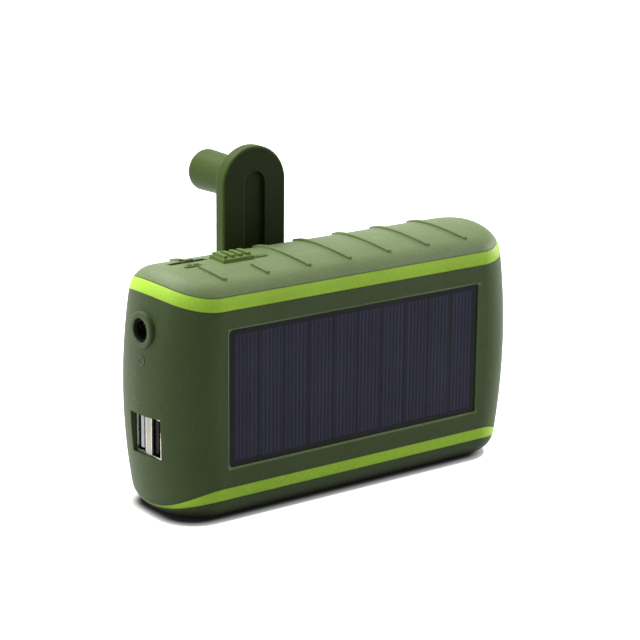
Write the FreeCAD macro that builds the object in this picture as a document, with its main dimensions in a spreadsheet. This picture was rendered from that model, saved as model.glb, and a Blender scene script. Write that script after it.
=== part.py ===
import FreeCAD, Part
import math
import os
import Sketcher

# Hand crank phone charger. It stands on its long narrow side.
# +X runs along the case, +Y points out of the back, where the crank is, and +Z is up.
# The origin is the middle of the base. All sizes are in millimetres.

doc = FreeCAD.newDocument("crank_charger")
sheet = doc.addObject("Spreadsheet::Sheet", "Sizes")

SIZES = {
    # case
    "body_length": 147, "body_depth": 42, "body_height": 81, "wall": 2.4,
    "end_radius": 31, "corner_radius": 16, "end_bulge": 4.5,
    "crown_rise": 5, "edge_round": 9, "base_round": 8,
    "cap_height": 7.2, "band_width": 4, "seam_arch": 4, "toe_arch": 7.2,
    "lip_gap": 0.4, "lip_wall": 1.6, "lip_depth": 4, "lip_length": 80,
    # solar panel
    "panel_length": 103.5, "panel_height": 45.4, "panel_gap": 0.15, "panel_sink": 0.8,
    "cover_thick": 0.5, "cell_thick": 0.2, "board_thick": 0.9, "panel_floor": 1.4,
    "cell_margin": 1.6, "panel_round": 1.6, "rim_chamfer": 0.5,
    # ports on the left end
    "socket_height": 13.2, "socket_thick": 5.7, "socket_pitch": 8.6, "socket_gap": 0.3,
    "socket_depth": 14, "socket_y": -3, "socket_lift": 16.6, "socket_sink": 2.5,
    "shell_sheet": 0.35, "tongue_thick": 1.8, "tongue_width": 11.2, "tongue_gap": 0.8,
    "jack_drop": 7.3, "jack_y": -1.5, "jack_hole": 8, "jack_ring": 12.2, "jack_proud": 0.8,
    "jack_bore": 6.2, "jack_pin_size": 2.1, "jack_deep": 9, "jack_gap": 0.1, "jack_sink": 1.3,
    # crank
    "crank_x": -11.7, "crank_radius": 58, "arm_width": 25.6, "arm_thick": 5, "arm_gap": 1,
    "arm_round": 0.9, "channel_width": 8.4, "channel_sink": 1.6, "channel_start": 9,
    "flange_size": 26, "flange_thick": 1.2, "flange_gap": 0.3, "flange_sink": 1,
    "lug_thick": 5, "lug_round": 2.9, "lug_gap": 0.3, "tongue_span": 13.6, "hinge_size": 3,
    "hinge_gap": 0.05, "shaft_size": 8, "shaft_gap": 0.05, "bush_size": 12,
    "knob_size": 14.6, "knob_neck": 13.2, "knob_length": 24.7, "knob_gap": 0.3,
    "axle_size": 4, "axle_gap": 0.05, "axle_floor": 1, "screw_head": 7, "screw_height": 2, "screw_sink": 3.2,
    "pocket_gap": 1, "pocket_wall": 1.4,
    # gear train and generator
    "tooth_module": 0.6, "drive_teeth": 49, "pinion_teeth": 14, "first_teeth": 42,
    "second_teeth": 35, "gear_thick": 2.8, "gear_space": 0.8, "gear_backlash": 0.12,
    "frame_thick": 1.5, "frame_gap": 2, "pin_size": 2, "pin_gap": 0.05,
    "first_angle": 30, "second_angle": -70, "rotor_angle": 200,
    "stator_size": 28, "stator_depth": 9, "stator_wall": 1, "magnet_size": 17, "magnet_thick": 5,
    "rotor_shaft_size": 2, "clip_size": 11, "clip_thick": 0.8, "post_size": 4, "frame_screw": 1.6,
    # battery and boards
    "battery_length": 80, "battery_thick": 6.4, "battery_round": 2.5, "battery_gap": 0.3,
    "circuit_thick": 1.6, "circuit_gap": 3.3,
    # controls on top
    "button_inset": 36.3, "button_y": -1, "button_drop": 6.3, "control_drop": 10.5,
    "button_length": 12, "button_width": 8, "button_proud": 1.1, "grip_proud": 0.9,
    "button_gap": 0.25, "button_rim": 0.7, "button_travel": 0.8, "grip_count": 4,
    "slot_inset": 21.6, "slot_y": 3, "slot_length": 14.2, "slot_width": 3, "nib_length": 3.2,
    "nib_width": 2.2, "nib_proud": 0.9,
    # ribs across the top
    "rib_pitch": 16.6, "rib_proud": 0.7, "rib_width": 1.4, "rib_span": 31, "rib_bow": 3,
    "rib_count": 7, "rib_clear": 4.5,
    # screws in the base
    "screw_size": 3, "screw_spread": 96, "screw_gap": 0.1, "boss_size": 7,
}


class Dim:
    """A size that keeps its value and the spreadsheet expression it comes from."""

    def __init__(self, value, text):
        self.value = float(value)
        self.text = text

    def joined(self, sign, other, value, swap=False):
        parts = [self.text, as_dim(other).text]
        if swap:
            parts.reverse()
        return Dim(value, "(" + sign.join(parts) + ")")

    def __add__(self, other):
        return self.joined(" + ", other, self.value + as_dim(other).value)

    def __sub__(self, other):
        return self.joined(" - ", other, self.value - as_dim(other).value)

    def __mul__(self, other):
        return self.joined(" * ", other, self.value * as_dim(other).value)

    def __truediv__(self, other):
        return self.joined(" / ", other, self.value / as_dim(other).value)

    def __rsub__(self, other):
        return self.joined(" - ", other, as_dim(other).value - self.value, True)

    def __neg__(self):
        return 0 - self

    __radd__ = __add__
    __rmul__ = __mul__

    def __float__(self):
        return self.value


def as_dim(number):
    if isinstance(number, Dim):
        return number
    return Dim(number, repr(float(number)) if number >= 0 else "(0 - " + repr(float(-number)) + ")")


def root(dim):
    return Dim(math.sqrt(dim.value), "sqrt(" + dim.text + ")")


def cosine(dim):
    return Dim(math.cos(math.radians(dim.value)), "cos(" + dim.text + ")")


def sine(dim):
    return Dim(math.sin(math.radians(dim.value)), "sin(" + dim.text + ")")


def fill_sheet():
    for row, (alias, number) in enumerate(SIZES.items(), start=1):
        sheet.set("A" + str(row), alias)
        sheet.set("B" + str(row), str(number))
        sheet.setAlias("B" + str(row), alias)
    doc.recompute()


def cell(alias):
    return Dim(sheet.get(alias), "Sizes." + alias)


fill_sheet()
size = type("Cells", (), {alias: cell(alias) for alias in SIZES})
nodes = {}


# Places that several pieces share.

middle = size.body_height / 2
back = size.body_depth / 2
half_length = size.body_length / 2
crown_radius = (back * back + size.crown_rise * size.crown_rise) / (2 * size.crown_rise)
crown_centre = size.body_height - crown_radius
inner_back = back - size.wall
arm_inside = back + size.arm_gap
arm_outside = arm_inside + size.arm_thick
hinge_y = arm_inside + size.arm_thick / 2
axle_start = arm_inside + size.channel_sink + size.axle_floor
knob_z = middle + size.crank_radius
knob_start = arm_outside + size.knob_gap
knob_end = knob_start + size.knob_length
pocket_x = size.crank_x + size.crank_radius
pocket_floor = 2 * hinge_y - knob_end - size.pocket_gap
pocket_size = size.knob_size + 2 * size.pocket_gap
seam = middle - size.cap_height - size.band_width
band_edge = middle - size.cap_height
socket_face = size.socket_sink - half_length
socket_z = middle - seam + size.socket_lift
jack_face = size.jack_sink - half_length
jack_z = middle + seam - size.jack_drop
slot_x = size.slot_inset - half_length
button_x = size.button_inset - half_length
panel_back = size.panel_sink + size.cover_thick + size.cell_thick + size.board_thick - back
tray_back = panel_back + size.panel_floor
shaft_hole = size.shaft_size / 2 + size.shaft_gap

# The gear train, from the back forward. Each stage is one layer further from the back.

frame_top = inner_back - size.frame_gap
frame_inside = frame_top - size.frame_thick
layer_step = size.gear_thick + size.gear_space
first_layer = frame_inside - layer_step
second_layer = first_layer - layer_step
third_layer = second_layer - layer_step
frame_front = third_layer - size.gear_space - size.frame_thick


def pitch_radius(teeth):
    return size.tooth_module * teeth / 2


def mesh_place(start, angle, driver, follower):
    """The centre of a gear that meshes with the one whose centre is start."""
    reach = pitch_radius(driver) + pitch_radius(follower)
    return start[0] + reach * cosine(angle), start[1] + reach * sine(angle)


hub_place = (size.crank_x, middle)
first_place = mesh_place(hub_place, size.first_angle, size.drive_teeth, size.pinion_teeth)
second_place = mesh_place(first_place, size.second_angle, size.first_teeth, size.pinion_teeth)
rotor_place = mesh_place(second_place, size.rotor_angle, size.second_teeth, size.pinion_teeth)

frame_margin = size.post_size * 0.85
frame_left = size.crank_x - pitch_radius(size.drive_teeth) - frame_margin
frame_right = second_place[0] + pitch_radius(size.second_teeth) + frame_margin
frame_low = rotor_place[1] - size.stator_size / 2 + 1
frame_high = first_place[1] + pitch_radius(size.first_teeth) + frame_margin * 0.7


def frame_holes():
    inset = size.post_size * 0.75
    return [(x, z) for x in (frame_left + inset, frame_right - inset)
            for z in (frame_low + inset, frame_high - inset)]


# Sketch and feature helpers.

def new_body(label):
    body = doc.addObject("PartDesign::Body", label)
    body.Label = label
    return body


def new_sketch(body, plane, offset=0):
    sketch = body.newObject("Sketcher::SketchObject", body.Label + "_sketch")
    origin = next(item for item in body.Origin.OriginFeatures if item.Role == plane)
    sketch.AttachmentSupport = [(origin, "")]
    sketch.MapMode = "FlatFace"
    place = as_dim(offset)
    sketch.AttachmentOffset = FreeCAD.Placement(FreeCAD.Vector(0, 0, place.value), FreeCAD.Rotation())
    sketch.setExpression("AttachmentOffset.Base.z", place.text)
    return sketch


def bind(sketch, index, dim):
    sketch.setExpression("Constraints[" + str(index) + "]", as_dim(dim).text)


def draw_outline(sketch, corners):
    """Draw a closed outline of (across, up) corners. Where an arc starts, its centre and radius follow."""
    ends = []
    for number, corner in enumerate(corners):
        follower = corners[(number + 1) % len(corners)]
        start = FreeCAD.Vector(float(corner[0]), float(corner[1]), 0)
        finish = FreeCAD.Vector(float(follower[0]), float(follower[1]), 0)
        if len(corner) == 2:
            line = sketch.addGeometry(Part.LineSegment(start, finish), False)
            ends.append((line, 1, 2))
            continue
        centre = FreeCAD.Vector(float(corner[2][0]), float(corner[2][1]), 0)
        radius = float(corner[3])
        first = math.atan2(start.y - centre.y, start.x - centre.x)
        last = math.atan2(finish.y - centre.y, finish.x - centre.x)
        turn = (last - first) % (2 * math.pi)
        forward = turn <= math.pi
        low, high = (first, last) if forward else (last, first)
        circle = Part.Circle(centre, FreeCAD.Vector(0, 0, 1), radius)
        arc = sketch.addGeometry(Part.ArcOfCircle(circle, low, high), False)
        ends.append((arc, 1, 2) if forward else (arc, 2, 1))
        bind(sketch, sketch.addConstraint(Sketcher.Constraint("Radius", arc, radius)), corner[3])
    for number, (shape, first, last) in enumerate(ends):
        other, other_first, other_last = ends[(number + 1) % len(ends)]
        sketch.addConstraint(Sketcher.Constraint("Coincident", shape, last, other, other_first))
        for kind, dim in (("DistanceX", corners[number][0]), ("DistanceY", corners[number][1])):
            pin = sketch.addConstraint(Sketcher.Constraint(kind, -1, 1, shape, first, float(dim)))
            bind(sketch, pin, dim)


def pad(body, sketch, length, toward_plus=True):
    """Pad a sketch, toward the plus side of the axis that its plane faces."""
    feature = body.newObject("PartDesign::Pad", body.Label + "_pad")
    feature.Profile = sketch
    feature.setExpression("Length", as_dim(length).text)
    faces_minus = sketch.getGlobalPlacement().Rotation.multVec(FreeCAD.Vector(0, 0, 1))
    feature.Reversed = (faces_minus.x + faces_minus.y + faces_minus.z > 0) != toward_plus
    sketch.Visibility = False
    doc.recompute()
    return feature


def plane_offset(plane, place):
    # the XZ plane faces -Y, so a place along Y is measured the other way
    return -as_dim(place) if plane == "XZ_Plane" else as_dim(place)


def prism(label, plane, low, high, draw):
    """A body with one sketch, padded from low to high along the axis that the plane faces."""
    body = new_body(label)
    sketch = new_sketch(body, plane, plane_offset(plane, low))
    draw(sketch)
    doc.recompute()
    pad(body, sketch, as_dim(high) - low)
    return body


def box_outline(low_across, high_across, low_up, high_up):
    return [(low_across, low_up), (high_across, low_up), (high_across, high_up), (low_across, high_up)]


def obround(across, low, high, width):
    """An upright slot with round ends, whose end centres are at low and high."""
    half = as_dim(width) / 2
    left, right = across - half, across + half
    return [(right, low), (right, high, (across, high), half), (across, high + half, (across, high), half),
            (left, high), (left, low, (across, low), half), (across, low - half, (across, low), half)]


def around(centre, length):
    return (centre - as_dim(length) / 2, centre + as_dim(length) / 2)


def block(label, x, y, z):
    """A box between the given (low, high) pairs."""
    solid = doc.addObject("Part::Box", label)
    for name, pair in (("Length", x), ("Width", y), ("Height", z)):
        solid.setExpression(name, (as_dim(pair[1]) - pair[0]).text)
    for name, pair in (("x", x), ("y", y), ("z", z)):
        solid.setExpression("Placement.Base." + name, as_dim(pair[0]).text)
    return solid


TURNS = {
    "x": FreeCAD.Rotation(FreeCAD.Vector(0, 1, 0), 90),
    "y": FreeCAD.Rotation(FreeCAD.Vector(1, 0, 0), -90),
    "z": FreeCAD.Rotation(),
}


def rod(label, axis, diameter, span, first, second):
    """A cylinder along an axis. first and second are its places on the two other axes."""
    solid = doc.addObject("Part::Cylinder", label)
    solid.Placement.Rotation = TURNS[axis]
    solid.setExpression("Radius", (as_dim(diameter) / 2).text)
    solid.setExpression("Height", (as_dim(span[1]) - span[0]).text)
    places = {axis: span[0]}
    others = [name for name in "xyz" if name != axis]
    places.update(zip(others, (first, second)))
    for name, dim in places.items():
        solid.setExpression("Placement.Base." + name, as_dim(dim).text)
    return solid


def joined(label, kind, pieces):
    solid = doc.addObject("Part::" + kind, label)
    solid.Shapes = pieces
    solid.Refine = True
    return solid


def fuse(label, pieces):
    return joined(label, "MultiFuse", pieces)


def common(label, pieces):
    return joined(label, "MultiCommon", pieces)


def cut(label, base, tools):
    tool = tools[0] if len(tools) == 1 else fuse(label + "_cutters", tools)
    solid = doc.addObject("Part::Cut", label)
    solid.Base = base
    solid.Tool = tool
    solid.Refine = True
    return solid


def rounded(label, base, radius, wanted):
    """Round the edges of base that the test wanted accepts."""
    doc.recompute()
    solid = doc.addObject("Part::Fillet", label)
    solid.Base = base
    reach = as_dim(radius).value
    edges = [(number, reach, reach) for number, edge in enumerate(base.Shape.Edges, 1) if wanted(edge)]
    solid.Edges = edges
    return solid


def chamfered(label, base, width, wanted):
    """Chamfer the edges of base that the test wanted accepts."""
    doc.recompute()
    solid = doc.addObject("Part::Chamfer", label)
    solid.Base = base
    reach = as_dim(width).value
    solid.Edges = [(number, reach, reach) for number, edge in enumerate(base.Shape.Edges, 1) if wanted(edge)]
    return solid


def keep(name, solid):
    solid.Label = name
    nodes[name] = solid
    return solid


# The outer form of the case. The cavity is the same form, drawn in by the wall.

def plan(length, depth, end_radius, corner_radius):
    """The case seen from above: flat long sides, bowed ends and round corners."""
    half, side = length / 2, depth / 2
    inside = side - corner_radius
    bow_centre = half - end_radius
    reach = end_radius - corner_radius
    corner = bow_centre + root(reach * reach - inside * inside)
    meet_x = bow_centre + (corner - bow_centre) * end_radius / reach
    meet_y = inside * end_radius / reach
    return [
        (corner, side, (corner, inside), corner_radius), (meet_x, meet_y, (bow_centre, 0), end_radius),
        (meet_x, -meet_y, (corner, -inside), corner_radius), (corner, -side),
        (-corner, -side, (-corner, -inside), corner_radius), (-meet_x, -meet_y, (-bow_centre, 0), end_radius),
        (-meet_x, meet_y, (-corner, inside), corner_radius), (-corner, side),
    ]


def case_form(label, inset):
    """The whole case, drawn in by inset on every side. The ends bulge at half height."""
    body = new_body(label + "_bulge")
    # the sketches stand a little outside the case, so that the crown and the base trim the loft
    over = (middle + size.wall) / middle
    levels = [(-size.wall, over * over), (middle, 0), (size.body_height + size.wall, over * over)]
    sketches = []
    for level, drawn_in in levels:
        sketch = new_sketch(body, "XY_Plane", level)
        length = size.body_length - 2 * (inset + drawn_in * size.end_bulge)
        draw_outline(sketch, plan(length, size.body_depth - 2 * inset,
                                  size.end_radius - inset, size.corner_radius - inset))
        sketches.append(sketch)
    doc.recompute()
    loft = body.newObject("PartDesign::AdditiveLoft", label + "_loft")
    loft.Profile = sketches[0]
    loft.Sections = sketches[1:]
    loft.Ruled = False
    doc.recompute()
    top, rise = crown_centre, crown_radius - inset
    side = as_dim(1) * size.body_depth
    edge = top + root(rise * rise - side * side * 0.36)
    reach = size.body_length
    crown = prism(label + "_crown", "YZ_Plane", -reach, reach, lambda sketch: draw_outline(
        sketch, [(-side * 0.6, inset), (side * 0.6, inset),
                 (side * 0.6, edge, (0, top), rise), (-side * 0.6, edge)]))
    blank = common(label + "_blank", [body, crown])
    doc.recompute()
    low = as_dim(inset).value
    high = float(edge)

    def on_top(shape):
        box = shape.BoundBox
        return box.ZMin > high - 0.01 and box.ZMax > low + 10

    def on_base(shape):
        return shape.BoundBox.ZMax < low + 0.01

    top_round = rounded(label + "_top", blank, size.edge_round - inset, on_top)
    doc.recompute()
    return rounded(label, top_round, size.base_round - inset, on_base)


# Case.

slab_side = size.body_depth * 0.6


def seam_line(height, arch):
    """A seam that rises by arch between the long sides, or dips where arch is negative.

    Gives the arc's centre and radius, and the seam's height at the slab's side."""
    up = float(arch) > 0
    tall = arch if up else -arch
    radius = (back * back + tall * tall) / (2 * tall)
    centre = height + tall - radius if up else height - tall + radius
    reach = root(radius * radius - slab_side * slab_side)
    return centre, radius, centre + reach if up else centre - reach


def slab(label, low, high):
    """All between two levels, each a plain height or a seam's (height, arch)."""
    def corners():
        if isinstance(low, tuple):
            centre, radius, edge = seam_line(*low)
            yield (-slab_side, edge, (0, centre), radius)
            yield (slab_side, edge)
        else:
            yield (-slab_side, low)
            yield (slab_side, low)
        if isinstance(high, tuple):
            centre, radius, edge = seam_line(*high)
            yield (slab_side, edge, (0, centre), radius)
            yield (-slab_side, edge)
        else:
            yield (slab_side, high)
            yield (-slab_side, high)
    return prism(label, "YZ_Plane", -size.body_length, size.body_length,
                 lambda sketch: draw_outline(sketch, list(corners())))


# The four seams, from the base up. The lower band thins out as it passes under the ends.
seams = [(middle - band_edge, -size.seam_arch), (middle - seam, -size.toe_arch),
         (middle + seam, size.seam_arch), (middle + band_edge, size.seam_arch)]
outer = case_form("case_outer", as_dim(0))
cavity = case_form("case_cavity", size.wall)
hub_bore = rod("hub_bore", "y", size.bush_size, (frame_top, back + 1), size.crank_x, middle)


def side_lips(label, low, high):
    """The thin walls that stand inside the long sides and line the two shells up."""
    outside = inner_back - size.lip_gap
    x = around(0, size.lip_length)
    return [block(label, x, y, (low, high))
            for y in ((outside - size.lip_wall, outside), (-outside, size.lip_wall - outside))]


def jack_front():
    rise = (jack_z - middle) / middle
    return half_length - size.end_bulge * rise * rise + size.jack_proud


def housing_body():
    between = slab("housing_slab", seams[1], seams[2])
    shell = common("housing_blank", [outer, between])
    tray_x = size.panel_length / 2 + size.panel_floor
    tray_z = size.panel_height / 2 + size.panel_floor
    front = size.wall / 2 - back
    tray = block("panel_tray", (-tray_x, tray_x), (front, tray_back), (middle - tray_z, middle + tray_z))
    in_wall = back - size.wall / 2
    hub_boss = rod("hub_boss", "y", size.bush_size + 2 * size.pocket_wall, (frame_top, in_wall),
                   size.crank_x, middle)
    pocket_boss = rod("pocket_boss", "y", pocket_size + 2 * size.pocket_wall,
                      (pocket_floor - size.pocket_wall, in_wall), pocket_x, middle)
    ring_x = (-jack_front(), size.jack_proud + size.wall - jack_front())
    jack_ring = rod("jack_ring", "x", size.jack_ring, ring_x, size.jack_y, jack_z)
    jack_ring = rounded("jack_ring_round", jack_ring, size.jack_proud,
                        lambda edge: edge.BoundBox.XMax < 0.01 - float(jack_front()))
    posts = [rod("board_post", "y", size.post_size, (board_y + size.circuit_thick, in_wall), x, z)
             for x in (board_left + size.post_size, board_right - size.post_size)
             for z in (middle - board_reach, middle + board_reach)]
    posts += [rod("frame_post", "y", size.post_size, (frame_top, in_wall), x, z) for x, z in frame_holes()]
    holes = [rod("frame_post_hole", "y", size.frame_screw, (frame_top, inner_back), x, z)
             for x, z in frame_holes()]
    rest = middle - seam
    for x in screw_places():
        reach = (size.wall + size.lip_gap, rest + size.wall)
        posts.append(rod("screw_boss", "z", size.boss_size, reach, x, 0))
        posts.append(block("screw_web", around(x, size.wall), (0, in_wall),
                           (rest + size.lip_gap, rest + size.wall)))
        holes.append(rod("boss_hole", "z", size.screw_size, (0, rest + 1), x, 0))
    walls = cut("housing_walls", shell, [cavity])
    solid = fuse("housing_solid", [walls, tray, hub_boss, pocket_boss, jack_ring] + posts)
    window = prism("panel_window", "XZ_Plane", -back - 1, panel_back, lambda sketch: draw_outline(
        sketch, box_outline(-size.panel_length / 2 - size.panel_gap, size.panel_length / 2 + size.panel_gap,
                            middle - size.panel_height / 2 - size.panel_gap,
                            middle + size.panel_height / 2 + size.panel_gap)))
    window = rounded("panel_window_round", window, size.panel_round, lambda edge: edge.BoundBox.YLength > 1)
    pocket = rod("knob_pocket", "y", pocket_size, (pocket_floor, back + 1), pocket_x, middle)
    flange_seat = rod("flange_seat", "y", size.flange_size + 2 * size.flange_gap,
                      (back - size.flange_sink, back + 1), size.crank_x, middle)
    jack_hole = rod("jack_hole", "x", size.jack_hole, (-half_length - 1, 3 * size.wall - half_length),
                    size.jack_y, jack_z)
    low, high = socket_span()
    socket_hole = block("socket_hole", (-half_length - 1, 3 * size.wall - half_length), (low, high),
                        (socket_z - size.socket_height / 2 - size.socket_gap,
                         socket_z + size.socket_height / 2 + size.socket_gap))
    holes += [window, pocket, flange_seat, hub_bore, jack_hole, socket_hole]
    opened = cut("housing_opened", solid, holes)
    keep("housing_body", chamfered("housing_body", opened, size.rim_chamfer, on_panel_rim))


def on_panel_rim(edge):
    box = edge.BoundBox
    margin = float(size.panel_gap + size.panel_length) / 2 + 1
    height = float(size.panel_gap + size.panel_height) / 2 + 1
    level = float(middle)
    return (box.YMax < 0.01 - float(back) and box.XMin > -margin and box.XMax < margin
            and box.ZMin > level - height and box.ZMax < level + height)


def trim_band(name, low, high):
    ring = common(name + "_blank", [outer, slab(name + "_slab", low, high)])
    keep(name, cut(name, ring, [cavity]))


def rib(number):
    """The outline of one rib across the top, bowed to the left in its middle."""
    left = size.rib_pitch * (number - (size.rib_count - 1) / 2) - size.rib_width / 2
    right = left + size.rib_width
    half_span = size.rib_span / 2
    radius = (half_span * half_span + size.rib_bow * size.rib_bow) / (2 * size.rib_bow)
    inwards = radius - size.rib_bow
    return prism("rib_" + str(number), "XY_Plane", middle, size.body_height + size.rib_proud,
                 lambda sketch: draw_outline(sketch, [
                     (left, half_span, (left + inwards, 0), radius), (left, -half_span),
                     (right, -half_span, (right + inwards, 0), radius), (right, half_span)]))


def top_ribs(sky):
    """The ribs stand proud of the top and stop short of the button and of the switch."""
    low, high = around(size.button_y, size.button_width + 2 * size.rib_clear)
    clear = [block("button_clear", around(button_x, size.rib_pitch), (low, high), (middle, sky))]
    low, high = around(size.slot_y, size.slot_width)
    clear.append(block("switch_clear", around(slot_x, size.rib_pitch),
                       (low - size.rib_clear * 1.5, high + size.rib_clear / 3), (middle, sky)))
    ribs = fuse("rib_set", [rib(number) for number in range(int(float(size.rib_count)))])
    raised = common("ribs_on_top", [ribs, slab("rib_slab", seams[3], sky),
                                    case_form("case_ribs", -size.rib_proud)])
    return cut("top_ribs", raised, clear)


def crown_piece(label, x, y, proud, floor):
    """An upright block in the top, from floor up. Its own top follows the crown and stands proud of it."""
    upright = block(label + "_block", x, y, (floor, size.body_height + 3))
    over = rod(label + "_crown", "x", 2 * (crown_radius + proud), x, 0, crown_centre)
    return common(label, [upright, over])


def top_cap():
    sky = size.body_height + 5
    shell = common("top_blank", [outer, slab("top_slab", seams[3], sky)])
    hollow = cut("top_shell", fuse("top_solid", [shell, top_ribs(sky)]), [cavity])
    posts = [rod("control_post", "z", size.post_size, (control_top, size.body_height - size.wall * 0.75),
                 x, control_y)
             for x in (control_left + size.post_size / 2, control_right - size.post_size / 2)]
    button_hole = block("button_hole", around(button_x, size.button_length + 2 * size.button_gap),
                        around(size.button_y, size.button_width + 2 * size.button_gap), (middle, sky))
    slot = block("switch_slot", around(slot_x, size.slot_length), around(size.slot_y, size.slot_width),
                 (middle, sky))
    keep("top_cap", fuse("top_cap", [cut("top_opened", hollow, [button_hole, slot])] + posts))


def screw_places():
    return (-size.screw_spread / 2, size.screw_spread / 2)


def bottom_cap():
    shell = common("bottom_blank", [outer, slab("bottom_slab", as_dim(-5), seams[0])])
    hollow = cut("bottom_shell", shell, [cavity])
    rim = side_lips("bottom_lip", middle - band_edge - size.wall - 0.3, middle - seam + size.lip_depth)
    sinks = []
    for x in screw_places():
        sinks.append(rod("screw_sink", "z", 2 * size.screw_size, (-1, size.wall * 0.6), x, 0))
        sinks.append(rod("screw_way", "z", size.screw_size + 2 * size.screw_gap, (-1, 2 * size.wall), x, 0))
    keep("bottom_cap", cut("bottom_cap", fuse("bottom_joined", [hollow] + rim), sinks))


def cap_screws():
    screws = []
    for x in screw_places():
        head = rod("screw_head", "z", 2 * size.screw_size - 2 * size.screw_gap,
                   (size.wall * 0.1, size.wall * 0.6), x, 0)
        shank = rod("screw_shank", "z", size.screw_size, (size.wall * 0.6, 4 * size.wall), x, 0)
        drive = rod("screw_drive", "z", size.screw_size / 2, (0, size.wall * 0.35), x, 0)
        screws.append(cut("cap_screw", fuse("screw_blank", [head, shank]), [drive]))
    keep("cap_screws", fuse("cap_screws", screws))


# Solar panel.

def panel_sheet(name, low, high, margin=0):
    half, up = size.panel_length / 2 - margin, size.panel_height / 2 - margin
    sheet_body = prism(name + "_blank", "XZ_Plane", low, high, lambda sketch: draw_outline(
        sketch, box_outline(-half, half, middle - up, middle + up)))
    if margin:
        keep(name, sheet_body)
        return
    keep(name, rounded(name, sheet_body, size.panel_round, lambda edge: edge.BoundBox.XLength < 0.01
                       and edge.BoundBox.ZLength < 0.01))


def solar_panel():
    front = size.panel_sink - back
    cells = front + size.cover_thick
    panel_sheet("solar_cover", front, cells)
    panel_sheet("solar_cells", cells, cells + size.cell_thick, size.cell_margin)
    panel_sheet("solar_board", cells + size.cell_thick, panel_back)


# Ports on the left end.

board_y = size.socket_y + size.socket_pitch / 2 + size.socket_thick / 2
board_left = size.wall * 4 - half_length
board_right = frame_left - size.gear_space
board_half = seam - size.circuit_gap
board_reach = board_half - size.post_size * 1.5


def socket_span():
    reach = size.socket_pitch / 2 + size.socket_thick / 2 + size.socket_gap
    return size.socket_y - reach, size.socket_y + reach


def usb_socket(place, y):
    rear = socket_face + size.socket_depth
    sheet_metal = size.shell_sheet
    outside = (around(y, size.socket_thick), around(socket_z, size.socket_height))
    inside = (around(y, size.socket_thick - 2 * sheet_metal),
              around(socket_z, size.socket_height - 2 * sheet_metal))
    name = "usb_shell_" + place
    can = block("socket_can", (socket_face, rear), *outside)
    keep(name, cut(name, can, [block("socket_mouth", (socket_face - 1, rear - sheet_metal), *inside)]))
    high = inside[0][1] - size.tongue_gap
    tongue = block("tongue", (socket_face + 1, rear - sheet_metal), (high - size.tongue_thick, high),
                   around(socket_z, size.tongue_width))
    seat = block("tongue_seat", (rear - sheet_metal - size.socket_depth / 4, rear - sheet_metal), *inside)
    keep("usb_tongue_" + place, fuse("usb_tongue_" + place, [tongue, seat]))


def usb_divider():
    keep("usb_divider", block("usb_divider", (socket_face, socket_face + size.socket_depth),
                              around(size.socket_y, size.socket_pitch - size.socket_thick),
                              around(socket_z, size.socket_height)))


def jack():
    bottom = jack_face + size.jack_deep
    barrel = rod("jack_barrel", "x", size.jack_hole - 2 * size.jack_gap, (jack_face, bottom),
                 size.jack_y, jack_z)
    foot = block("jack_foot", (bottom - size.wall * 2, bottom + size.wall),
                 (size.jack_y - size.jack_hole / 2, board_y), around(jack_z, size.jack_hole))
    bore = rod("jack_way", "x", size.jack_bore, (jack_face - 1, bottom), size.jack_y, jack_z)
    keep("jack_body", cut("jack_body", fuse("jack_blank", [barrel, foot]), [bore]))
    tip = jack_face + 2 * size.jack_pin_size
    pin = rod("jack_pin_blank", "x", size.jack_pin_size, (tip, bottom), size.jack_y, jack_z)
    keep("jack_pin", rounded("jack_pin", pin, size.jack_pin_size * 0.3,
                             lambda edge: edge.BoundBox.XMax < float(tip) + 0.01))


def main_board():
    keep("main_board", block("main_board", (board_left, board_right), (board_y, board_y + size.circuit_thick),
                             around(middle, 2 * board_half)))
    parts = []
    for x, z, length, height, tall in ((0.75, 0.2, 7, 7, 1.4), (0.72, 0.47, 9, 6, 3.2), (0.8, 0.7, 6, 6, 4),
                                       (0.55, 0.72, 5, 5, 1.2), (0.5, 0.5, 4, 8, 2)):
        centre_x = board_left + (board_right - board_left) * x
        centre_z = middle + board_half * (2 * z - 1)
        parts.append(block("board_part", around(centre_x, length), (board_y - tall, board_y),
                           around(centre_z, height)))
    keep("board_parts", fuse("board_parts", parts))


def battery():
    right = pocket_x - pocket_size / 2 - size.pocket_wall - size.gear_space
    half = seam - size.lip_depth - size.battery_gap
    outline = box_outline(right - size.battery_length, right, middle - half, middle + half)
    pack = prism("battery_blank", "XZ_Plane", tray_back, tray_back + size.battery_thick,
                 lambda sketch: draw_outline(sketch, outline))
    keep("battery_pack", rounded("battery_pack", pack, size.battery_round,
                                 lambda edge: edge.BoundBox.YLength > 1))


# Controls on top.

button_floor = size.body_height - size.button_drop
control_top = size.body_height - size.control_drop
control_left = slot_x - size.slot_length / 2 - size.post_size * 1.25
control_right = button_x + size.button_length / 2 + size.post_size * 1.75
control_y = (size.slot_y + size.button_y) / 2


def power_button():
    x, y = around(button_x, size.button_length), around(size.button_y, size.button_width)
    body = crown_piece("button_body", x, y, size.button_proud, button_floor)
    pitch = size.button_length / size.grip_count
    bars = []
    for number in range(int(float(size.grip_count))):
        centre = x[0] + pitch * (number + 0.5)
        bars.append(crown_piece("button_bar", around(centre, pitch / 2),
                                around(size.button_y, size.button_width * 0.75),
                                size.button_proud + size.grip_proud, button_floor))
    flange = block("button_flange", around(button_x, size.button_length + 2 * size.button_rim),
                   around(size.button_y, size.button_width + 2 * size.button_rim),
                   (button_floor, button_floor + 1))
    keep("power_button", fuse("power_button", [body, flange] + bars))


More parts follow.
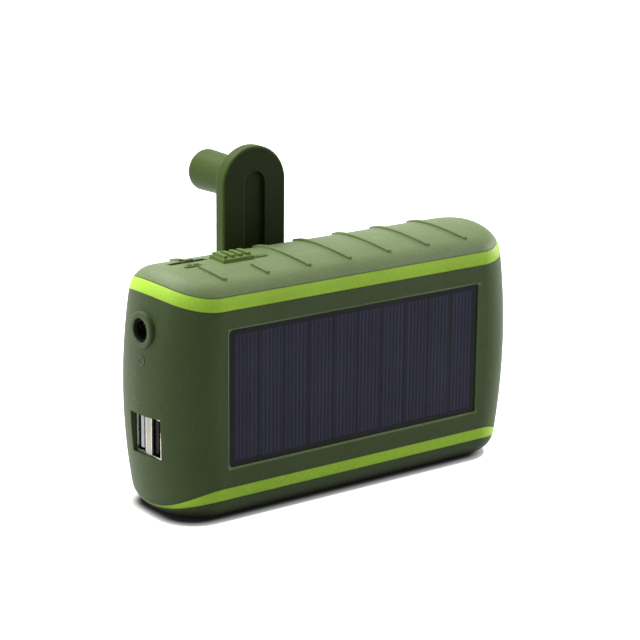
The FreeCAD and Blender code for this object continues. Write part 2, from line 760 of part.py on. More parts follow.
def controls():
    keep("control_board", block("control_board", (control_left, control_right),
                                around(control_y, size.slot_width * 4), (control_top - 1.2, control_top)))
    case_top = button_floor - size.button_travel * 2.5
    case = block("switch_can", around(button_x, 6), around(size.button_y, 6), (control_top, case_top))
    plunger = rod("switch_plunger", "z", 3.4, (case_top, button_floor - size.button_travel - size.jack_gap),
                  button_x, size.button_y)
    keep("button_switch", fuse("button_switch", [case, plunger]))
    keep("mode_switch_case", block("mode_switch_case", around(slot_x, size.slot_length * 0.8),
                                   around(size.slot_y, 6), (control_top, case_top)))
    nib = crown_piece("nib", around(slot_x, size.nib_length), around(size.slot_y, size.nib_width),
                      size.nib_proud, case_top + 0.2)
    foot = block("nib_foot", around(slot_x, size.nib_length * 1.5), around(size.slot_y, size.slot_width * 2),
                 (case_top + 0.2, case_top + 1.2))
    keep("mode_switch_knob", fuse("mode_switch_knob", [nib, foot]))


# Crank.

def crank_hub():
    flange_y = back - size.flange_sink + size.flange_gap + size.flange_thick
    flange = rod("hub_flange", "y", size.flange_size, (flange_y - size.flange_thick, flange_y),
                 size.crank_x, middle)
    shaft = rod("hub_shaft", "y", size.shaft_size, (frame_front + size.flange_gap, flange_y),
                size.crank_x, middle)
    pieces = [flange, shaft]
    near = size.tongue_span / 2 + size.lug_gap
    for sign in (-1, 1):
        ends = (size.crank_x + sign * near, size.crank_x + sign * (near + size.lug_thick))
        low, high = ends if sign > 0 else ends[::-1]
        pieces.append(rod("lug_round", "x", 2 * size.lug_round, (low, high), hinge_y, middle))
        pieces.append(block("lug", (low, high), (flange_y - size.flange_thick / 2, hinge_y),
                            around(middle, 2 * size.lug_round)))
    hole = rod("hinge_hole", "x", size.hinge_size,
               around(size.crank_x, size.flange_size + 4), hinge_y, middle)
    keep("crank_hub", cut("crank_hub", fuse("hub_blank", pieces), [hole]))
    pin_reach = 2 * (near + size.lug_thick) - 0.4
    keep("hinge_pin", rod("hinge_pin", "x", size.hinge_size, around(size.crank_x, pin_reach),
                          hinge_y, middle))


def hub_bush():
    sleeve = rod("bush_sleeve", "y", size.bush_size, (frame_top, back - size.flange_sink),
                 size.crank_x, middle)
    bore = rod("bush_bore", "y", 2 * shaft_hole, (0, back), size.crank_x, middle)
    keep("hub_bush", cut("hub_bush", sleeve, [bore]))


def crank_arm():
    half = size.arm_width / 2
    shoulder = middle + size.lug_round + size.lug_gap + 0.1
    left, right = size.crank_x - half, size.crank_x + half
    tongue_left, tongue_right = size.crank_x - size.tongue_span / 2, size.crank_x + size.tongue_span / 2

    def draw_plate(sketch):
        draw_outline(sketch, [
            (right, knob_z, (size.crank_x, knob_z), half),
            (size.crank_x, knob_z + half, (size.crank_x, knob_z), half),
            (left, knob_z), (left, shoulder), (tongue_left, shoulder), (tongue_left, middle),
            (tongue_right, middle), (tongue_right, shoulder), (right, shoulder)])
    plate = prism("arm_plate", "XZ_Plane", arm_inside, arm_outside, draw_plate)
    plate = rounded("arm_plate_round", plate, size.arm_round, lambda edge: edge.BoundBox.YLength < 0.01
                    and edge.BoundBox.ZMax > float(shoulder) + 1)
    knuckle = rod("knuckle", "x", size.arm_thick, (tongue_left, tongue_right), hinge_y, middle)
    channel = prism("arm_channel", "XZ_Plane", arm_inside - 1, arm_inside + size.channel_sink,
                    lambda sketch: draw_outline(sketch, obround(
                        size.crank_x, middle + size.channel_start, knob_z, size.channel_width)))
    hole = rod("arm_hinge_hole", "x", size.hinge_size + 2 * size.hinge_gap,
               around(size.crank_x, size.tongue_span + 2), hinge_y, middle)
    axle_hole = rod("arm_axle_hole", "y", size.axle_size, (axle_start, arm_outside + 1),
                    size.crank_x, knob_z)
    keep("crank_arm", cut("crank_arm", fuse("arm_blank", [plate, knuckle]), [channel, hole, axle_hole]))


def knob_parts():
    axle_end = knob_end - size.screw_sink
    keep("knob_axle", rod("knob_axle", "y", size.axle_size, (axle_start, axle_end),
                          size.crank_x, knob_z))
    head = rod("screw_cap", "y", size.screw_head, (axle_end, axle_end + size.screw_height),
               size.crank_x, knob_z)
    drive = rod("screw_socket", "y", size.screw_head * 0.4, (axle_end + size.screw_height / 2, knob_end),
                size.crank_x, knob_z)
    keep("knob_screw", cut("knob_screw", head, [drive]))
    body = new_body("knob_turned")
    sketch = new_sketch(body, "XY_Plane", knob_z)
    neck, wide = size.crank_x + size.knob_neck / 2, size.crank_x + size.knob_size / 2
    draw_outline(sketch, [(size.crank_x, knob_start), (neck, knob_start),
                          (wide, knob_end), (size.crank_x, knob_end)])
    doc.recompute()
    turned = body.newObject("PartDesign::Revolution", "knob_revolution")
    turned.Profile = sketch
    turned.ReferenceAxis = (sketch, ["Edge4"])
    turned.Angle = 360
    doc.recompute()
    soft = rounded("knob_round", body, size.arm_round * 1.5, lambda edge: edge.BoundBox.YLength < 0.01
                   and edge.BoundBox.XLength > 2)
    bore = rod("knob_bore", "y", size.axle_size + 2 * size.axle_gap, (arm_outside, knob_end),
               size.crank_x, knob_z)
    sink = rod("knob_sink", "y", size.screw_head + 1, (axle_end - size.knob_gap, knob_end + 1),
               size.crank_x, knob_z)
    keep("knob", cut("knob", soft, [bore, sink]))


# Gear train and generator.

PRESSURE = math.radians(20)


def involute(angle):
    return math.tan(angle) - angle


def gear(label, place, teeth, phase, low, high):
    """A spur gear about Y. phase is the direction of one tooth, in degrees from +X toward +Z."""
    count = int(float(teeth))
    module = float(size.tooth_module)
    pitch = float(pitch_radius(teeth))
    base = pitch * math.cos(PRESSURE)
    half_tooth = math.pi / (2 * count) - float(size.gear_backlash) / (4 * pitch)
    radii = [pitch - module, pitch, pitch + 0.8 * module]
    if base > radii[0]:
        radii.insert(1, base)

    def half_angle(radius):
        lean = math.acos(min(1, base / radius))
        return half_tooth + involute(PRESSURE) - involute(lean)
    points = []
    for number in range(count):
        centre = math.radians(phase) + 2 * math.pi * number / count
        flanks = [(radius, centre - half_angle(radius)) for radius in radii]
        flanks += [(radius, centre + half_angle(radius)) for radius in reversed(radii)]
        for radius, angle in flanks:
            points.append(FreeCAD.Vector(float(place[0]) + radius * math.cos(angle), float(low),
                                         float(place[1]) + radius * math.sin(angle)))
    face = Part.Face(Part.makePolygon(points + points[:1]))
    blank = doc.addObject("Part::Feature", label)
    blank.Shape = face.extrude(FreeCAD.Vector(0, float(high) - float(low), 0))
    return blank


def mesh_phase(angle, phase, driver, follower):
    """The phase that puts a gap of the follower around the driver's tooth at rest."""
    angle, driver, follower = float(angle), float(driver), float(follower)
    return angle + 180 - (phase - angle) * driver / follower + 180 / follower


def gear_train():
    pinion = size.pinion_teeth
    bore = size.pin_size + 2 * size.pin_gap
    drive = gear("drive_blank", hub_place, size.drive_teeth, 0, first_layer, first_layer + size.gear_thick)
    hub_hole = rod("drive_hole", "y", size.shaft_size, (frame_front, back), *hub_place)
    keep("drive_gear", cut("drive_gear", drive, [hub_hole]))
    clip = rod("clip_blank", "y", size.clip_size, (first_layer - size.clip_thick, first_layer), *hub_place)
    hole = rod("clip_hole", "y", size.shaft_size, (frame_front, back), *hub_place)
    keep("shaft_clip", cut("shaft_clip", clip, [hole]))

    phase = mesh_phase(size.first_angle, 0, size.drive_teeth, pinion)
    wheel = gear("first_wheel", first_place, size.first_teeth, 0,
                 second_layer, second_layer + size.gear_thick)
    small = gear("first_pinion", first_place, pinion, phase, second_layer + size.gear_thick,
                 first_layer + size.gear_thick)
    hole = rod("first_hole", "y", bore, (frame_front, back), *first_place)
    keep("idler_gear_one", cut("idler_gear_one", fuse("first_gear", [wheel, small]), [hole]))

    phase = mesh_phase(size.second_angle, 0, size.first_teeth, pinion)
    wheel = gear("second_wheel", second_place, size.second_teeth, 0,
                 third_layer, third_layer + size.gear_thick)
    small = gear("second_pinion", second_place, pinion, phase, third_layer + size.gear_thick,
                 second_layer + size.gear_thick)
    hole = rod("second_hole", "y", bore, (frame_front, back), *second_place)
    keep("idler_gear_two", cut("idler_gear_two", fuse("second_gear", [wheel, small]), [hole]))

    phase = mesh_phase(size.rotor_angle, 0, size.second_teeth, pinion)
    small = gear("rotor_gear", rotor_place, pinion, phase, third_layer, third_layer + size.gear_thick)
    hole = rod("rotor_hole", "y", size.rotor_shaft_size, (frame_front, back), *rotor_place)
    keep("rotor_pinion", cut("rotor_pinion", small, [hole]))


def idler_axle(name, place, low, high):
    """A fixed axle between the frame plates, with collars that keep its gear in its layers."""
    plates = (frame_front + size.frame_thick, frame_inside)
    end_play = size.gear_space / 4
    collar = size.pin_size * 1.7
    pieces = [rod(name + "_pin", "y", size.pin_size, (frame_front, frame_top), *place),
              rod(name + "_collar", "y", collar, (plates[0], low - end_play), *place),
              rod(name + "_collar", "y", collar, (high + end_play, plates[1]), *place)]
    keep(name, fuse(name, pieces))


def gear_frame():
    x, z = (frame_left, frame_right), (frame_low, frame_high)
    inside = frame_front + size.frame_thick
    bearings = [("y", 2 * shaft_hole, hub_place), ("y", size.pin_size, first_place),
                ("y", size.pin_size, second_place)]

    def holes(label, more=()):
        drilled = [rod(label, axis, hole, (frame_front - 1, back), *place) for axis, hole, place in bearings]
        drilled += [rod(label, "y", size.frame_screw, (frame_front - 1, back), *place)
                    for place in frame_holes()]
        return drilled + list(more)
    rear = rounded("rear_plate_round", block("rear_plate", x, (frame_inside, frame_top), z),
                   size.post_size / 2, lambda edge: edge.BoundBox.YLength > 1)
    keep("gear_frame_rear", cut("gear_frame_rear", rear, holes("rear_hole")))
    front = rounded("front_plate_round", block("front_plate", x, (frame_front, inside), z),
                    size.post_size / 2, lambda edge: edge.BoundBox.YLength > 1)
    pillars = [rod("pillar", "y", size.post_size, (inside, frame_inside), *place) for place in frame_holes()]
    rotor_way = rod("rotor_way", "y", size.rotor_shaft_size + 2 * size.pin_gap, (frame_front - 1, back),
                    *rotor_place)
    keep("gear_frame_front", cut("gear_frame_front", fuse("front_frame", [front] + pillars),
                                 holes("front_hole", [rotor_way])))
    screws = []
    for place in frame_holes():
        head = (frame_front - size.wall / 2, frame_front)
        shank = (frame_front, inner_back - size.wall / 10)
        screws.append(rod("frame_screw_head", "y", 2 * size.frame_screw, head, *place))
        screws.append(rod("frame_screw_shank", "y", size.frame_screw, shank, *place))
    keep("frame_screws", fuse("frame_screws", screws))
    idler_axle("idler_axle_one", first_place, second_layer, first_layer + size.gear_thick)
    idler_axle("idler_axle_two", second_place, third_layer, second_layer + size.gear_thick)


def generator():
    front = frame_front - size.stator_depth
    inside = front + size.stator_wall
    can = rod("stator_can", "y", size.stator_size, (front, frame_front), *rotor_place)
    hollow = rod("stator_hollow", "y", size.stator_size - 2 * size.stator_wall, (inside, frame_front + 1),
                 *rotor_place)
    bearing = rod("stator_bearing", "y", size.rotor_shaft_size + 2 * size.pin_gap, (front - 1, frame_front),
                  *rotor_place)
    keep("stator_case", cut("stator_case", can, [hollow, bearing]))
    magnet = (inside + size.stator_depth / 2 - size.magnet_thick / 2 - size.stator_wall / 2,
              inside + size.stator_depth / 2 + size.magnet_thick / 2 - size.stator_wall / 2)
    coil = rod("coil_ring", "y", size.stator_size - 2 * size.stator_wall,
               (magnet[0] - size.stator_wall / 2, magnet[1] + size.stator_wall / 2), *rotor_place)
    space = rod("coil_space", "y", size.magnet_size + 2 * size.stator_wall, (front, frame_front),
                *rotor_place)
    keep("stator_coils", cut("stator_coils", coil, [space]))
    ring = rod("magnet_ring", "y", size.magnet_size, magnet, *rotor_place)
    way = rod("magnet_way", "y", size.rotor_shaft_size, (front, frame_front), *rotor_place)
    keep("rotor_magnet", cut("rotor_magnet", ring, [way]))
    shaft_y = (front - size.stator_wall / 4, third_layer + size.gear_thick + 0.5)
    keep("rotor_shaft", rod("rotor_shaft", "y", size.rotor_shaft_size, shaft_y, *rotor_place))


# Build every piece, check it and write it out.

housing_body()
trim_band("upper_trim_band", seams[2], seams[3])
trim_band("lower_trim_band", seams[0], seams[1])
top_cap()
bottom_cap()
cap_screws()
solar_panel()
usb_socket("front", size.socket_y - size.socket_pitch / 2)
usb_socket("rear", size.socket_y + size.socket_pitch / 2)
usb_divider()
jack()
main_board()
battery()
power_button()
controls()
crank_hub()
hub_bush()
crank_arm()
knob_parts()
gear_train()
gear_frame()
generator()
doc.recompute()

for item in doc.Objects:
    if "Invalid" in item.State or "Error" in item.State:
        raise RuntimeError(item.Label + " did not compute")

os.makedirs("parts", exist_ok=True)
for name, item in nodes.items():
    shape = item.Shape
    if shape.isNull() or not shape.isValid() or not shape.Solids:
        raise RuntimeError(name + " has no valid solid")
    shape.exportStep("parts/" + name + ".step")
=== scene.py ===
"""Finishes, fine pieces and studio for the hand crank phone charger."""

import math
from functools import reduce

import bmesh
import bpy
from bpy.props import FloatProperty, FloatVectorProperty, IntProperty, PointerProperty
from mathutils import Matrix, Vector


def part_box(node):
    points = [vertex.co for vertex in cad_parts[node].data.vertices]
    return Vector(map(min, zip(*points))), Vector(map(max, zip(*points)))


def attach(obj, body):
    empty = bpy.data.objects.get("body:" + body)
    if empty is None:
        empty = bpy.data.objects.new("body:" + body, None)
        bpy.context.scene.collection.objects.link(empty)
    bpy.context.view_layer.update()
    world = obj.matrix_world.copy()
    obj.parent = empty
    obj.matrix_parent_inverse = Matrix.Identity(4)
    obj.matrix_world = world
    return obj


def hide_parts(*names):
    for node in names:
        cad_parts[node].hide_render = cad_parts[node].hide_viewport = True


bl_info = {
    "name": "Hand Crank Charger",
    "version": (1, 0, 0),
    "blender": (4, 5, 0),
    "location": "3D View > Sidebar > Charger",
    "description": "Dresses the hand crank phone charger and sets up its studio",
    "category": "Object",
}

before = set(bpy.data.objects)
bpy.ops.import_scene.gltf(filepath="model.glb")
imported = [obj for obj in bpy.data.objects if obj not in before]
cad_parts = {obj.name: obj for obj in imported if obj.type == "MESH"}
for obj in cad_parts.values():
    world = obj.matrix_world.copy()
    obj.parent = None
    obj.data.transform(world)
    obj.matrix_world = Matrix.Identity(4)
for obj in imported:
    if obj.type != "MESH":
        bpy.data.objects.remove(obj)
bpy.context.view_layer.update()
MM = 0.001
X, Y, Z = Vector((1, 0, 0)), Vector((0, 1, 0)), Vector((0, 0, 1))
BLACK, WHITE = (0, 0, 0, 1), (1, 1, 1, 1)
# The Mix node's sockets share their names, so its colour sockets go by number.
MIX_AMOUNT, MIX_FIRST, MIX_SECOND, MIX_RESULT = 0, 6, 7, 2
# Well outside the charger: where a line that looks for its surface begins.
FAR = 0.2
# The places of contacts and sprung leaves, in millimetres from the middle of a socket.
CONTACT_PLACES = (-3.5, -1.0, 1.0, 3.5)
SPRING_PLACES = (-3.2, 3.2)
# Each lamp's name, place and width. They all look at LAMP_AIM.
LAMPS = (("key", (-0.12, 0.40, 0.81), 0.6), ("side", (-1.0, 0.22, 0.42), 0.6),
         ("front", (0.95, -0.85, 0.45), 0.8), ("right", (1.2, -0.12, 0.3), 0.5))
LAMP_AIM = Vector((0, 0, 0.04))
# The camera's place, the two directions that turn it, and its sensor in millimetres.
CAMERA_PLACE = (-0.4316, -0.5662, 0.2493)
CAMERA_FORWARD = Vector((0.58435, 0.76724, -0.26446))
CAMERA_RIGHT = Vector((0.79717, -0.60367, 0.01008))
SENSOR_WIDTH = 36.0


# Shader maths and materials.

class Value:
    """A number that changes over a surface, used in plain arithmetic."""

    def __init__(self, nodes, socket):
        self.nodes = nodes
        self.socket = socket

    def __add__(self, other):
        return self.nodes.maths("ADD", self, other)

    __radd__ = __add__

    def __sub__(self, other):
        return self.nodes.maths("SUBTRACT", self, other)

    def __rsub__(self, other):
        return self.nodes.maths("SUBTRACT", other, self)

    def __mul__(self, other):
        return self.nodes.maths("MULTIPLY", self, other)

    __rmul__ = __mul__

    def __truediv__(self, other):
        return self.nodes.maths("DIVIDE", self, other)

    def __abs__(self):
        return self.nodes.maths("ABSOLUTE", self)

    def above(self, other):
        """1 where this is the larger of the two, else 0."""
        return self.nodes.maths("GREATER_THAN", self, other)

    def least(self, other):
        return self.nodes.maths("MINIMUM", self, other)

    def most(self, other):
        return self.nodes.maths("MAXIMUM", self, other)

    def repeat(self, step):
        """Distance from the nearest multiple of step."""
        return self.nodes.maths("PINGPONG", self, step / 2)

    def fade(self, start, end):
        """0 at start and 1 at end, eased between them."""
        ease = self.nodes.node("ShaderNodeMapRange", {"interpolation_type": "SMOOTHSTEP"},
                               {"Value": self, "From Min": start, "From Max": end})
        return Value(self.nodes, ease.outputs["Result"])


class Nodes:
    """A node tree while it is being put together."""

    def __init__(self, tree):
        self.tree = tree

    def node(self, kind, settings=None, sockets=None):
        """Add a node: its own settings first, then what its sockets are fed."""
        made = self.tree.nodes.new(kind)
        for setting, value in (settings or {}).items():
            setattr(made, setting, value)
        for socket, value in (sockets or {}).items():
            self.feed(made.inputs[socket], value)
        return made

    def feed(self, socket, value):
        """Link a socket to what varies, or set it to a constant."""
        value = value.socket if isinstance(value, Value) else value
        if isinstance(value, bpy.types.NodeSocket):
            self.tree.links.new(value, socket)
        else:
            socket.default_value = value

    def maths(self, operation, *values):
        """One step of arithmetic."""
        made = self.node("ShaderNodeMath", {"operation": operation}, dict(enumerate(values)))
        return Value(self, made.outputs[0])

    def distance(self, across, up):
        """The straight distance that two square ones add up to."""
        return self.maths("SQRT", across * across + up * up)

    def in_view(self):
        """1 for a ray from the camera or in a reflection or a clear piece, else 0."""
        path = self.node("ShaderNodeLightPath").outputs
        rays = ("Is Camera Ray", "Is Glossy Ray", "Is Transmission Ray")
        return reduce(Value.most, [Value(self, path[ray]) for ray in rays])


class Finish(Nodes):
    """One procedural material while it is being put together."""

    def __init__(self, name, **settings):
        self.material = bpy.data.materials.new(name)
        self.material.use_nodes = True
        super().__init__(self.material.node_tree)
        self.shader = self.tree.nodes["Principled BSDF"]
        for socket, value in settings.items():
            self.shader.inputs[socket.replace("_", " ")].default_value = value
        self.point = self.node("ShaderNodeTexCoord").outputs["Object"]
        split = self.node("ShaderNodeSeparateXYZ", {}, {"Vector": self.point})
        self.x, self.y, self.z = (Value(self, socket) for socket in split.outputs)
        self.heights = []

    def noise(self, size, layers=2.0, rough=0.5, stretch=None):
        """Cloudy noise from 0 to 1 with features of about the given size.

        Each layer adds finer features. A small number in stretch draws them out along that axis.
        """
        point = self.point
        if stretch:
            point = self.node("ShaderNodeMapping", {}, {"Vector": point, "Scale": stretch}).outputs[0]
        made = self.node("ShaderNodeTexNoise", {}, {
            "Vector": point, "Scale": 1 / size, "Detail": layers, "Roughness": rough})
        return Value(self, made.outputs[0])

    def cells(self, size):
        """Distance from the nearest of many scattered points, 1 being the given size."""
        made = self.node("ShaderNodeTexVoronoi", {}, {"Vector": self.point, "Scale": 1 / size})
        return Value(self, made.outputs["Distance"])

    def outside(self, low, high):
        """How far a point lies outside a box, seen from the front. It is below 0 within the box."""
        across = abs(self.x - (low.x + high.x) / 2) - (high.x - low.x) / 2
        upright = abs(self.z - (low.z + high.z) / 2) - (high.z - low.z) / 2
        return across.most(upright)

    def mixed(self, amount, first, second):
        """A colour between two others."""
        made = self.node("ShaderNodeMix", {"data_type": "RGBA"},
                         {MIX_AMOUNT: amount, MIX_FIRST: first, MIX_SECOND: second})
        return made.outputs[MIX_RESULT]

    def lift(self, height, depth):
        """Add a height from 0 to 1, depth metres tall, to the relief."""
        self.heights.append(height * (depth / MM))

    def done(self, colour, roughness=None, metallic=None, coat=None):
        """Feed the shader and give back the material."""
        self.feed(self.shader.inputs["Base Color"], colour)
        for name, value in (("Roughness", roughness), ("Metallic", metallic), ("Coat Weight", coat)):
            if value is not None:
                self.feed(self.shader.inputs[name], value)
        if self.heights:
            relief = sum(self.heights[1:], self.heights[0])
            bump = self.node("ShaderNodeBump", {}, {"Strength": 1.0, "Distance": MM, "Height": relief})
            self.feed(self.shader.inputs["Normal"], bump.outputs[0])
        return self.material


def shade(colour, factor=1.0):
    """A colour made darker or lighter, with full cover."""
    return tuple(min(1.0, channel * factor) for channel in colour[:3]) + (1.0,)


def centre(node):
    """The middle of a CAD piece's box."""
    low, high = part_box(node)
    return (low + high) / 2


def seam_shadow(finish, detail):
    """How near a point is to one of the four arched seams of the case, from 0 to 1."""
    low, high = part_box("housing_body")
    half_depth = (high.y - low.y) / 2
    middle = centre("solar_cells").z
    inner, outer = detail.seam_height, detail.seam_height + detail.band_width
    seams = ((1, inner, detail.seam_arch), (1, outer, detail.seam_arch),
             (-1, inner, detail.toe_arch), (-1, outer, detail.seam_arch))
    gaps = []
    for side, height, arch in seams:
        radius = (half_depth * half_depth + arch * arch) / (2 * arch)
        up = ((finish.z - middle) * side - (height + arch - radius)).most(0.0)
        gaps.append(abs(finish.distance(finish.y, up) - radius))
    return 1 - reduce(Value.least, gaps).fade(detail.seam_width * 0.3, detail.seam_width)


def window_rim(finish, width):
    """The thin bevel round the window of the solar panel, where a highlight is painted, from 0 to 1."""
    gap, face_depth = 0.08 * MM, 0.55 * MM
    away = finish.outside(*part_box("solar_cover"))
    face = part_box("housing_body")[0].y + face_depth
    on_face = 1 - finish.y.fade(face, face + 0.15 * MM)
    return away.fade(gap, gap * 2) * (1 - away.fade(width, width * 1.3)) * on_face


def case_marks(finish, body, colour, detail):
    """What only the case has: painted shade near its base, a painted highlight on the window's bevel, and the
    seams.
    """
    dark_from, dark_to, seam_depth = 8 * MM, 0.5 * MM, 0.12 * MM
    painted_base_shade, wear_and_highlight, seam_tone = shade(colour, 0.12), shade(colour, 4.2), shade(colour, 0.22)
    # Painted shade: the case gets darker towards its base, where it sits in shadow.
    near_base = 1 - finish.z.fade(dark_to, dark_from)
    body = finish.mixed(near_base * 0.85, body, painted_base_shade)
    # Painted highlight: the bevel round the window is painted much lighter, as where it catches the light.
    body = finish.mixed(window_rim(finish, detail.rim_width) * 0.55, body, wear_and_highlight)
    seam = seam_shadow(finish, detail)
    finish.lift(seam, -seam_depth)
    return finish.mixed(seam * 0.8, body, seam_tone)


def moulded(name, colour, detail, grain, roughness=0.5, specular=0.12, wear=None, rim=None, on_case=False):
    """Injection-moulded plastic: spark-eroded grain, faint flow tones, worn high spots.

    wear is a function that says how worn a point is. rim is a pair of such a function and the
    colour that shows there, which on the crank arm is a painted highlight.
    """
    finish = Finish(name, Specular_IOR_Level=specular)
    tones = finish.noise(30 * MM, layers=3.0).fade(0.3, 0.7)
    speckle = finish.noise(detail.grain_size * 2.2, rough=0.6)
    pits = finish.noise(detail.grain_size, rough=0.55)
    rubs = finish.noise(6 * MM, layers=4.0, rough=0.7).fade(0.54, 0.72)
    scratches = finish.noise(1.1 * MM, layers=3.0, rough=0.6, stretch=(0.12, 1.0, 1.0)).fade(0.66, 0.72)
    worn = rubs * 0.10 + scratches * 0.12
    if wear:
        worn = worn + wear(finish) * (0.25 + 0.75 * rubs) * 0.45
    darker, lighter = shade(colour, 0.92), shade(colour, 1.07)
    speckled, wear_and_highlight = shade(colour, 1.6), shade(colour, 1.9)
    body = finish.mixed(tones, darker, lighter)
    body = finish.mixed(speckle.fade(0.35, 0.75) * 0.34, body, speckled)
    if rim:
        on_rim, rim_colour = rim
        body = finish.mixed(on_rim(finish), body, rim_colour)
    body = finish.mixed(worn, body, wear_and_highlight)
    finish.lift(pits, grain)
    finish.lift(scratches, -grain * 0.35)
    if on_case:
        body = case_marks(finish, body, colour, detail)
    return finish.done(body, roughness + (speckle - 0.5) * 0.12 - worn * 0.22)


def metal(name, colour, roughness=0.3, brush=(1.0, 1.0, 1.0), stain=0.15, line=0.4 * MM, shade_from=None):
    """Bare metal with a brushed polish and a little staining.

    A small number in brush draws its lines out along that axis. From shade_from onwards along X
    its colour is painted darker, as painted shade inside a socket.
    """
    finish = Finish(name, Specular_IOR_Level=0.5)
    lines = finish.noise(line, layers=3.0, rough=0.6, stretch=brush)
    haze = finish.noise(4 * MM, layers=3.0).fade(0.4, 0.75)
    stained, in_shade = shade(colour, 0.5), shade(colour, 0.06)
    body = finish.mixed(haze * stain, shade(colour), stained)
    if shade_from is not None:
        inside = finish.x.fade(shade_from + 0.2 * MM, shade_from + 1.2 * MM)
        body = finish.mixed(inside, body, in_shade)
    finish.lift(lines, 0.01 * MM)
    return finish.done(body, roughness + (lines - 0.5) * 0.2 + haze * 0.12, 1.0)


def smooth_plastic(name, colour, roughness=0.35, relief=0.01 * MM, cloud=0.2, specular=0.5, shade_from=None):
    """Unpainted engineering plastic: cloudy near its gates, with fine tool marks.

    From shade_from onwards along X its colour is painted darker, as painted shade inside a socket.
    """
    finish = Finish(name, Specular_IOR_Level=specular)
    clouds = finish.noise(5 * MM, layers=3.0).fade(0.35, 0.7)
    grain = finish.noise(0.3 * MM)
    clouded, in_shade = shade(colour, 0.72), shade(colour, 0.1)
    body = finish.mixed(clouds * cloud, shade(colour), clouded)
    if shade_from is not None:
        inside = finish.x.fade(shade_from, shade_from + 4 * MM)
        body = finish.mixed(inside, body, in_shade)
    finish.lift(grain, relief)
    return finish.done(body, roughness + (grain - 0.5) * 0.15 + clouds * 0.08)


def circuit(name, colour):
    """Solder mask over copper runs, with tinned pads."""
    run_pitch_x, run_pitch_z = 1.6 * MM, 2.1 * MM
    run_edge = (0.25 * MM, 0.4 * MM)
    tin = (0.62, 0.60, 0.55)
    finish = Finish(name, Specular_IOR_Level=0.5)
    across = finish.x.repeat(run_pitch_x).fade(*run_edge)
    along = finish.z.repeat(run_pitch_z).fade(*run_edge)
    route = finish.noise(4 * MM, layers=0.0).above(0.5)
    runs = 1 - (across * route + along * (1 - route))
    pads = 1 - finish.cells(2.8 * MM).fade(0.16, 0.22)
    over_copper = shade(colour, 2.1)
    body = finish.mixed(runs * 0.6, shade(colour), over_copper)
    body = finish.mixed(pads, body, shade(tin))
    finish.lift(runs, 0.03 * MM)
    finish.lift(pads, 0.05 * MM)
    return finish.done(body, 0.32 + finish.noise(2 * MM) * 0.12, pads)


def solar(name, look):
    """Dark blue cells under clear resin: collecting fingers, cell gaps and a soft gloss."""
    low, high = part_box("solar_cells")
    margin = 0.2 * MM
    finger, pitch = look.finger_pitch, (high.x - low.x) / look.cell_count
    cell = look.panel_colour
    bloomed, gap_tone, border = shade(cell, 1.5), shade(cell, 0.3), shade(cell, 0.4)
    finish = Finish(name, Specular_IOR_Level=0.08, Coat_Roughness=0.12, Coat_IOR=1.5)
    left = finish.x - low.x
    fingers = 1 - left.repeat(finger).fade(0.1 * finger, 0.3 * finger)
    gaps = 1 - left.repeat(pitch).fade(0.3 * MM, 0.9 * MM)
    beyond = (finish.outside(low, high) + margin).above(0.0)
    bloom = finish.noise(12 * MM, layers=3.0).fade(0.3, 0.75)
    crystal = finish.noise(1.4 * MM, layers=4.0, rough=0.7, stretch=(1.0, 1.0, 0.2))
    uneven = finish.noise(2.2 * MM, rough=0.6, stretch=(1.0, 1.0, 0.02)).fade(0.3, 0.7)
    haze = finish.noise(20 * MM, layers=4.0).fade(0.35, 0.8)
    body = finish.mixed(bloom * 0.4 + crystal * 0.2, cell, bloomed)
    body = finish.mixed(fingers * (uneven * 0.45 + 0.5), body, look.finger_colour)
    body = finish.mixed(gaps * 0.85, body, gap_tone)
    body = finish.mixed(beyond, body, border)
    finish.lift(finish.noise(0.7 * MM), 0.006 * MM)
    return finish.done(body, 0.3 + haze * 0.14 + fingers * 0.05, coat=0.02 + haze * 0.05)


def windings(name, colour):
    """Enamelled copper wire laid side by side round the coils."""
    middle, pitch = centre("stator_coils"), 0.35 * MM
    finish = Finish(name, Specular_IOR_Level=0.5)
    turns = finish.distance(finish.x - middle.x, finish.z - middle.z)
    wire = turns.repeat(pitch) / (pitch / 2)
    finish.lift(wire, 0.08 * MM)
    # Painted shade and highlight: the grooves between turns are painted darker and the crests lighter.
    between, crest_highlight = shade(colour, 0.5), shade(colour, 1.3)
    body = finish.mixed(wire.least(1.0), between, crest_highlight)
    return finish.done(body, 0.28 + finish.noise(1 * MM) * 0.15, 0.9)


def wrap(name, colour):
    """Heat-shrink film round a cell, darker and with more creases towards its ends."""
    low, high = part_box("battery_pack")
    half, end = (high.x - low.x) / 2, 9 * MM
    finish = Finish(name, Specular_IOR_Level=0.5)
    creases = finish.noise(1.8 * MM, layers=3.0, rough=0.6, stretch=(0.25, 1.0, 1.0))
    near_end = abs(finish.x - (low.x + high.x) / 2).fade(half - end, half)
    # Painted shade: the creases are painted a little darker.
    crease_shade, dark_end = shade(colour, 0.7), shade(colour, 0.45)
    body = finish.mixed(creases.fade(0.4, 0.7) * 0.25, shade(colour), crease_shade)
    body = finish.mixed(near_end, body, dark_end)
    finish.lift(creases * (0.3 + 0.7 * near_end), 0.12 * MM)
    return finish.done(body, 0.3 + creases * 0.2)


def screw_steel():
    """The steel of every screw, made the first time it is asked for."""
    name = "screw_steel"
    return bpy.data.materials.get(name) or metal(name, (0.30, 0.30, 0.30), brush=(1.0, 1.0, 0.2))


def top_wear(finish):
    """Where hands and tables rub the case: its highest crown and its two ends."""
    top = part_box("top_cap")[1].z
    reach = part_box("housing_body")[1].x
    crown = finish.z.fade(top - 2.5 * MM, top - 0.5 * MM) * 0.5
    ends = abs(finish.x).fade(reach - 3 * MM, reach) * 0.6
    return crown.most(ends)


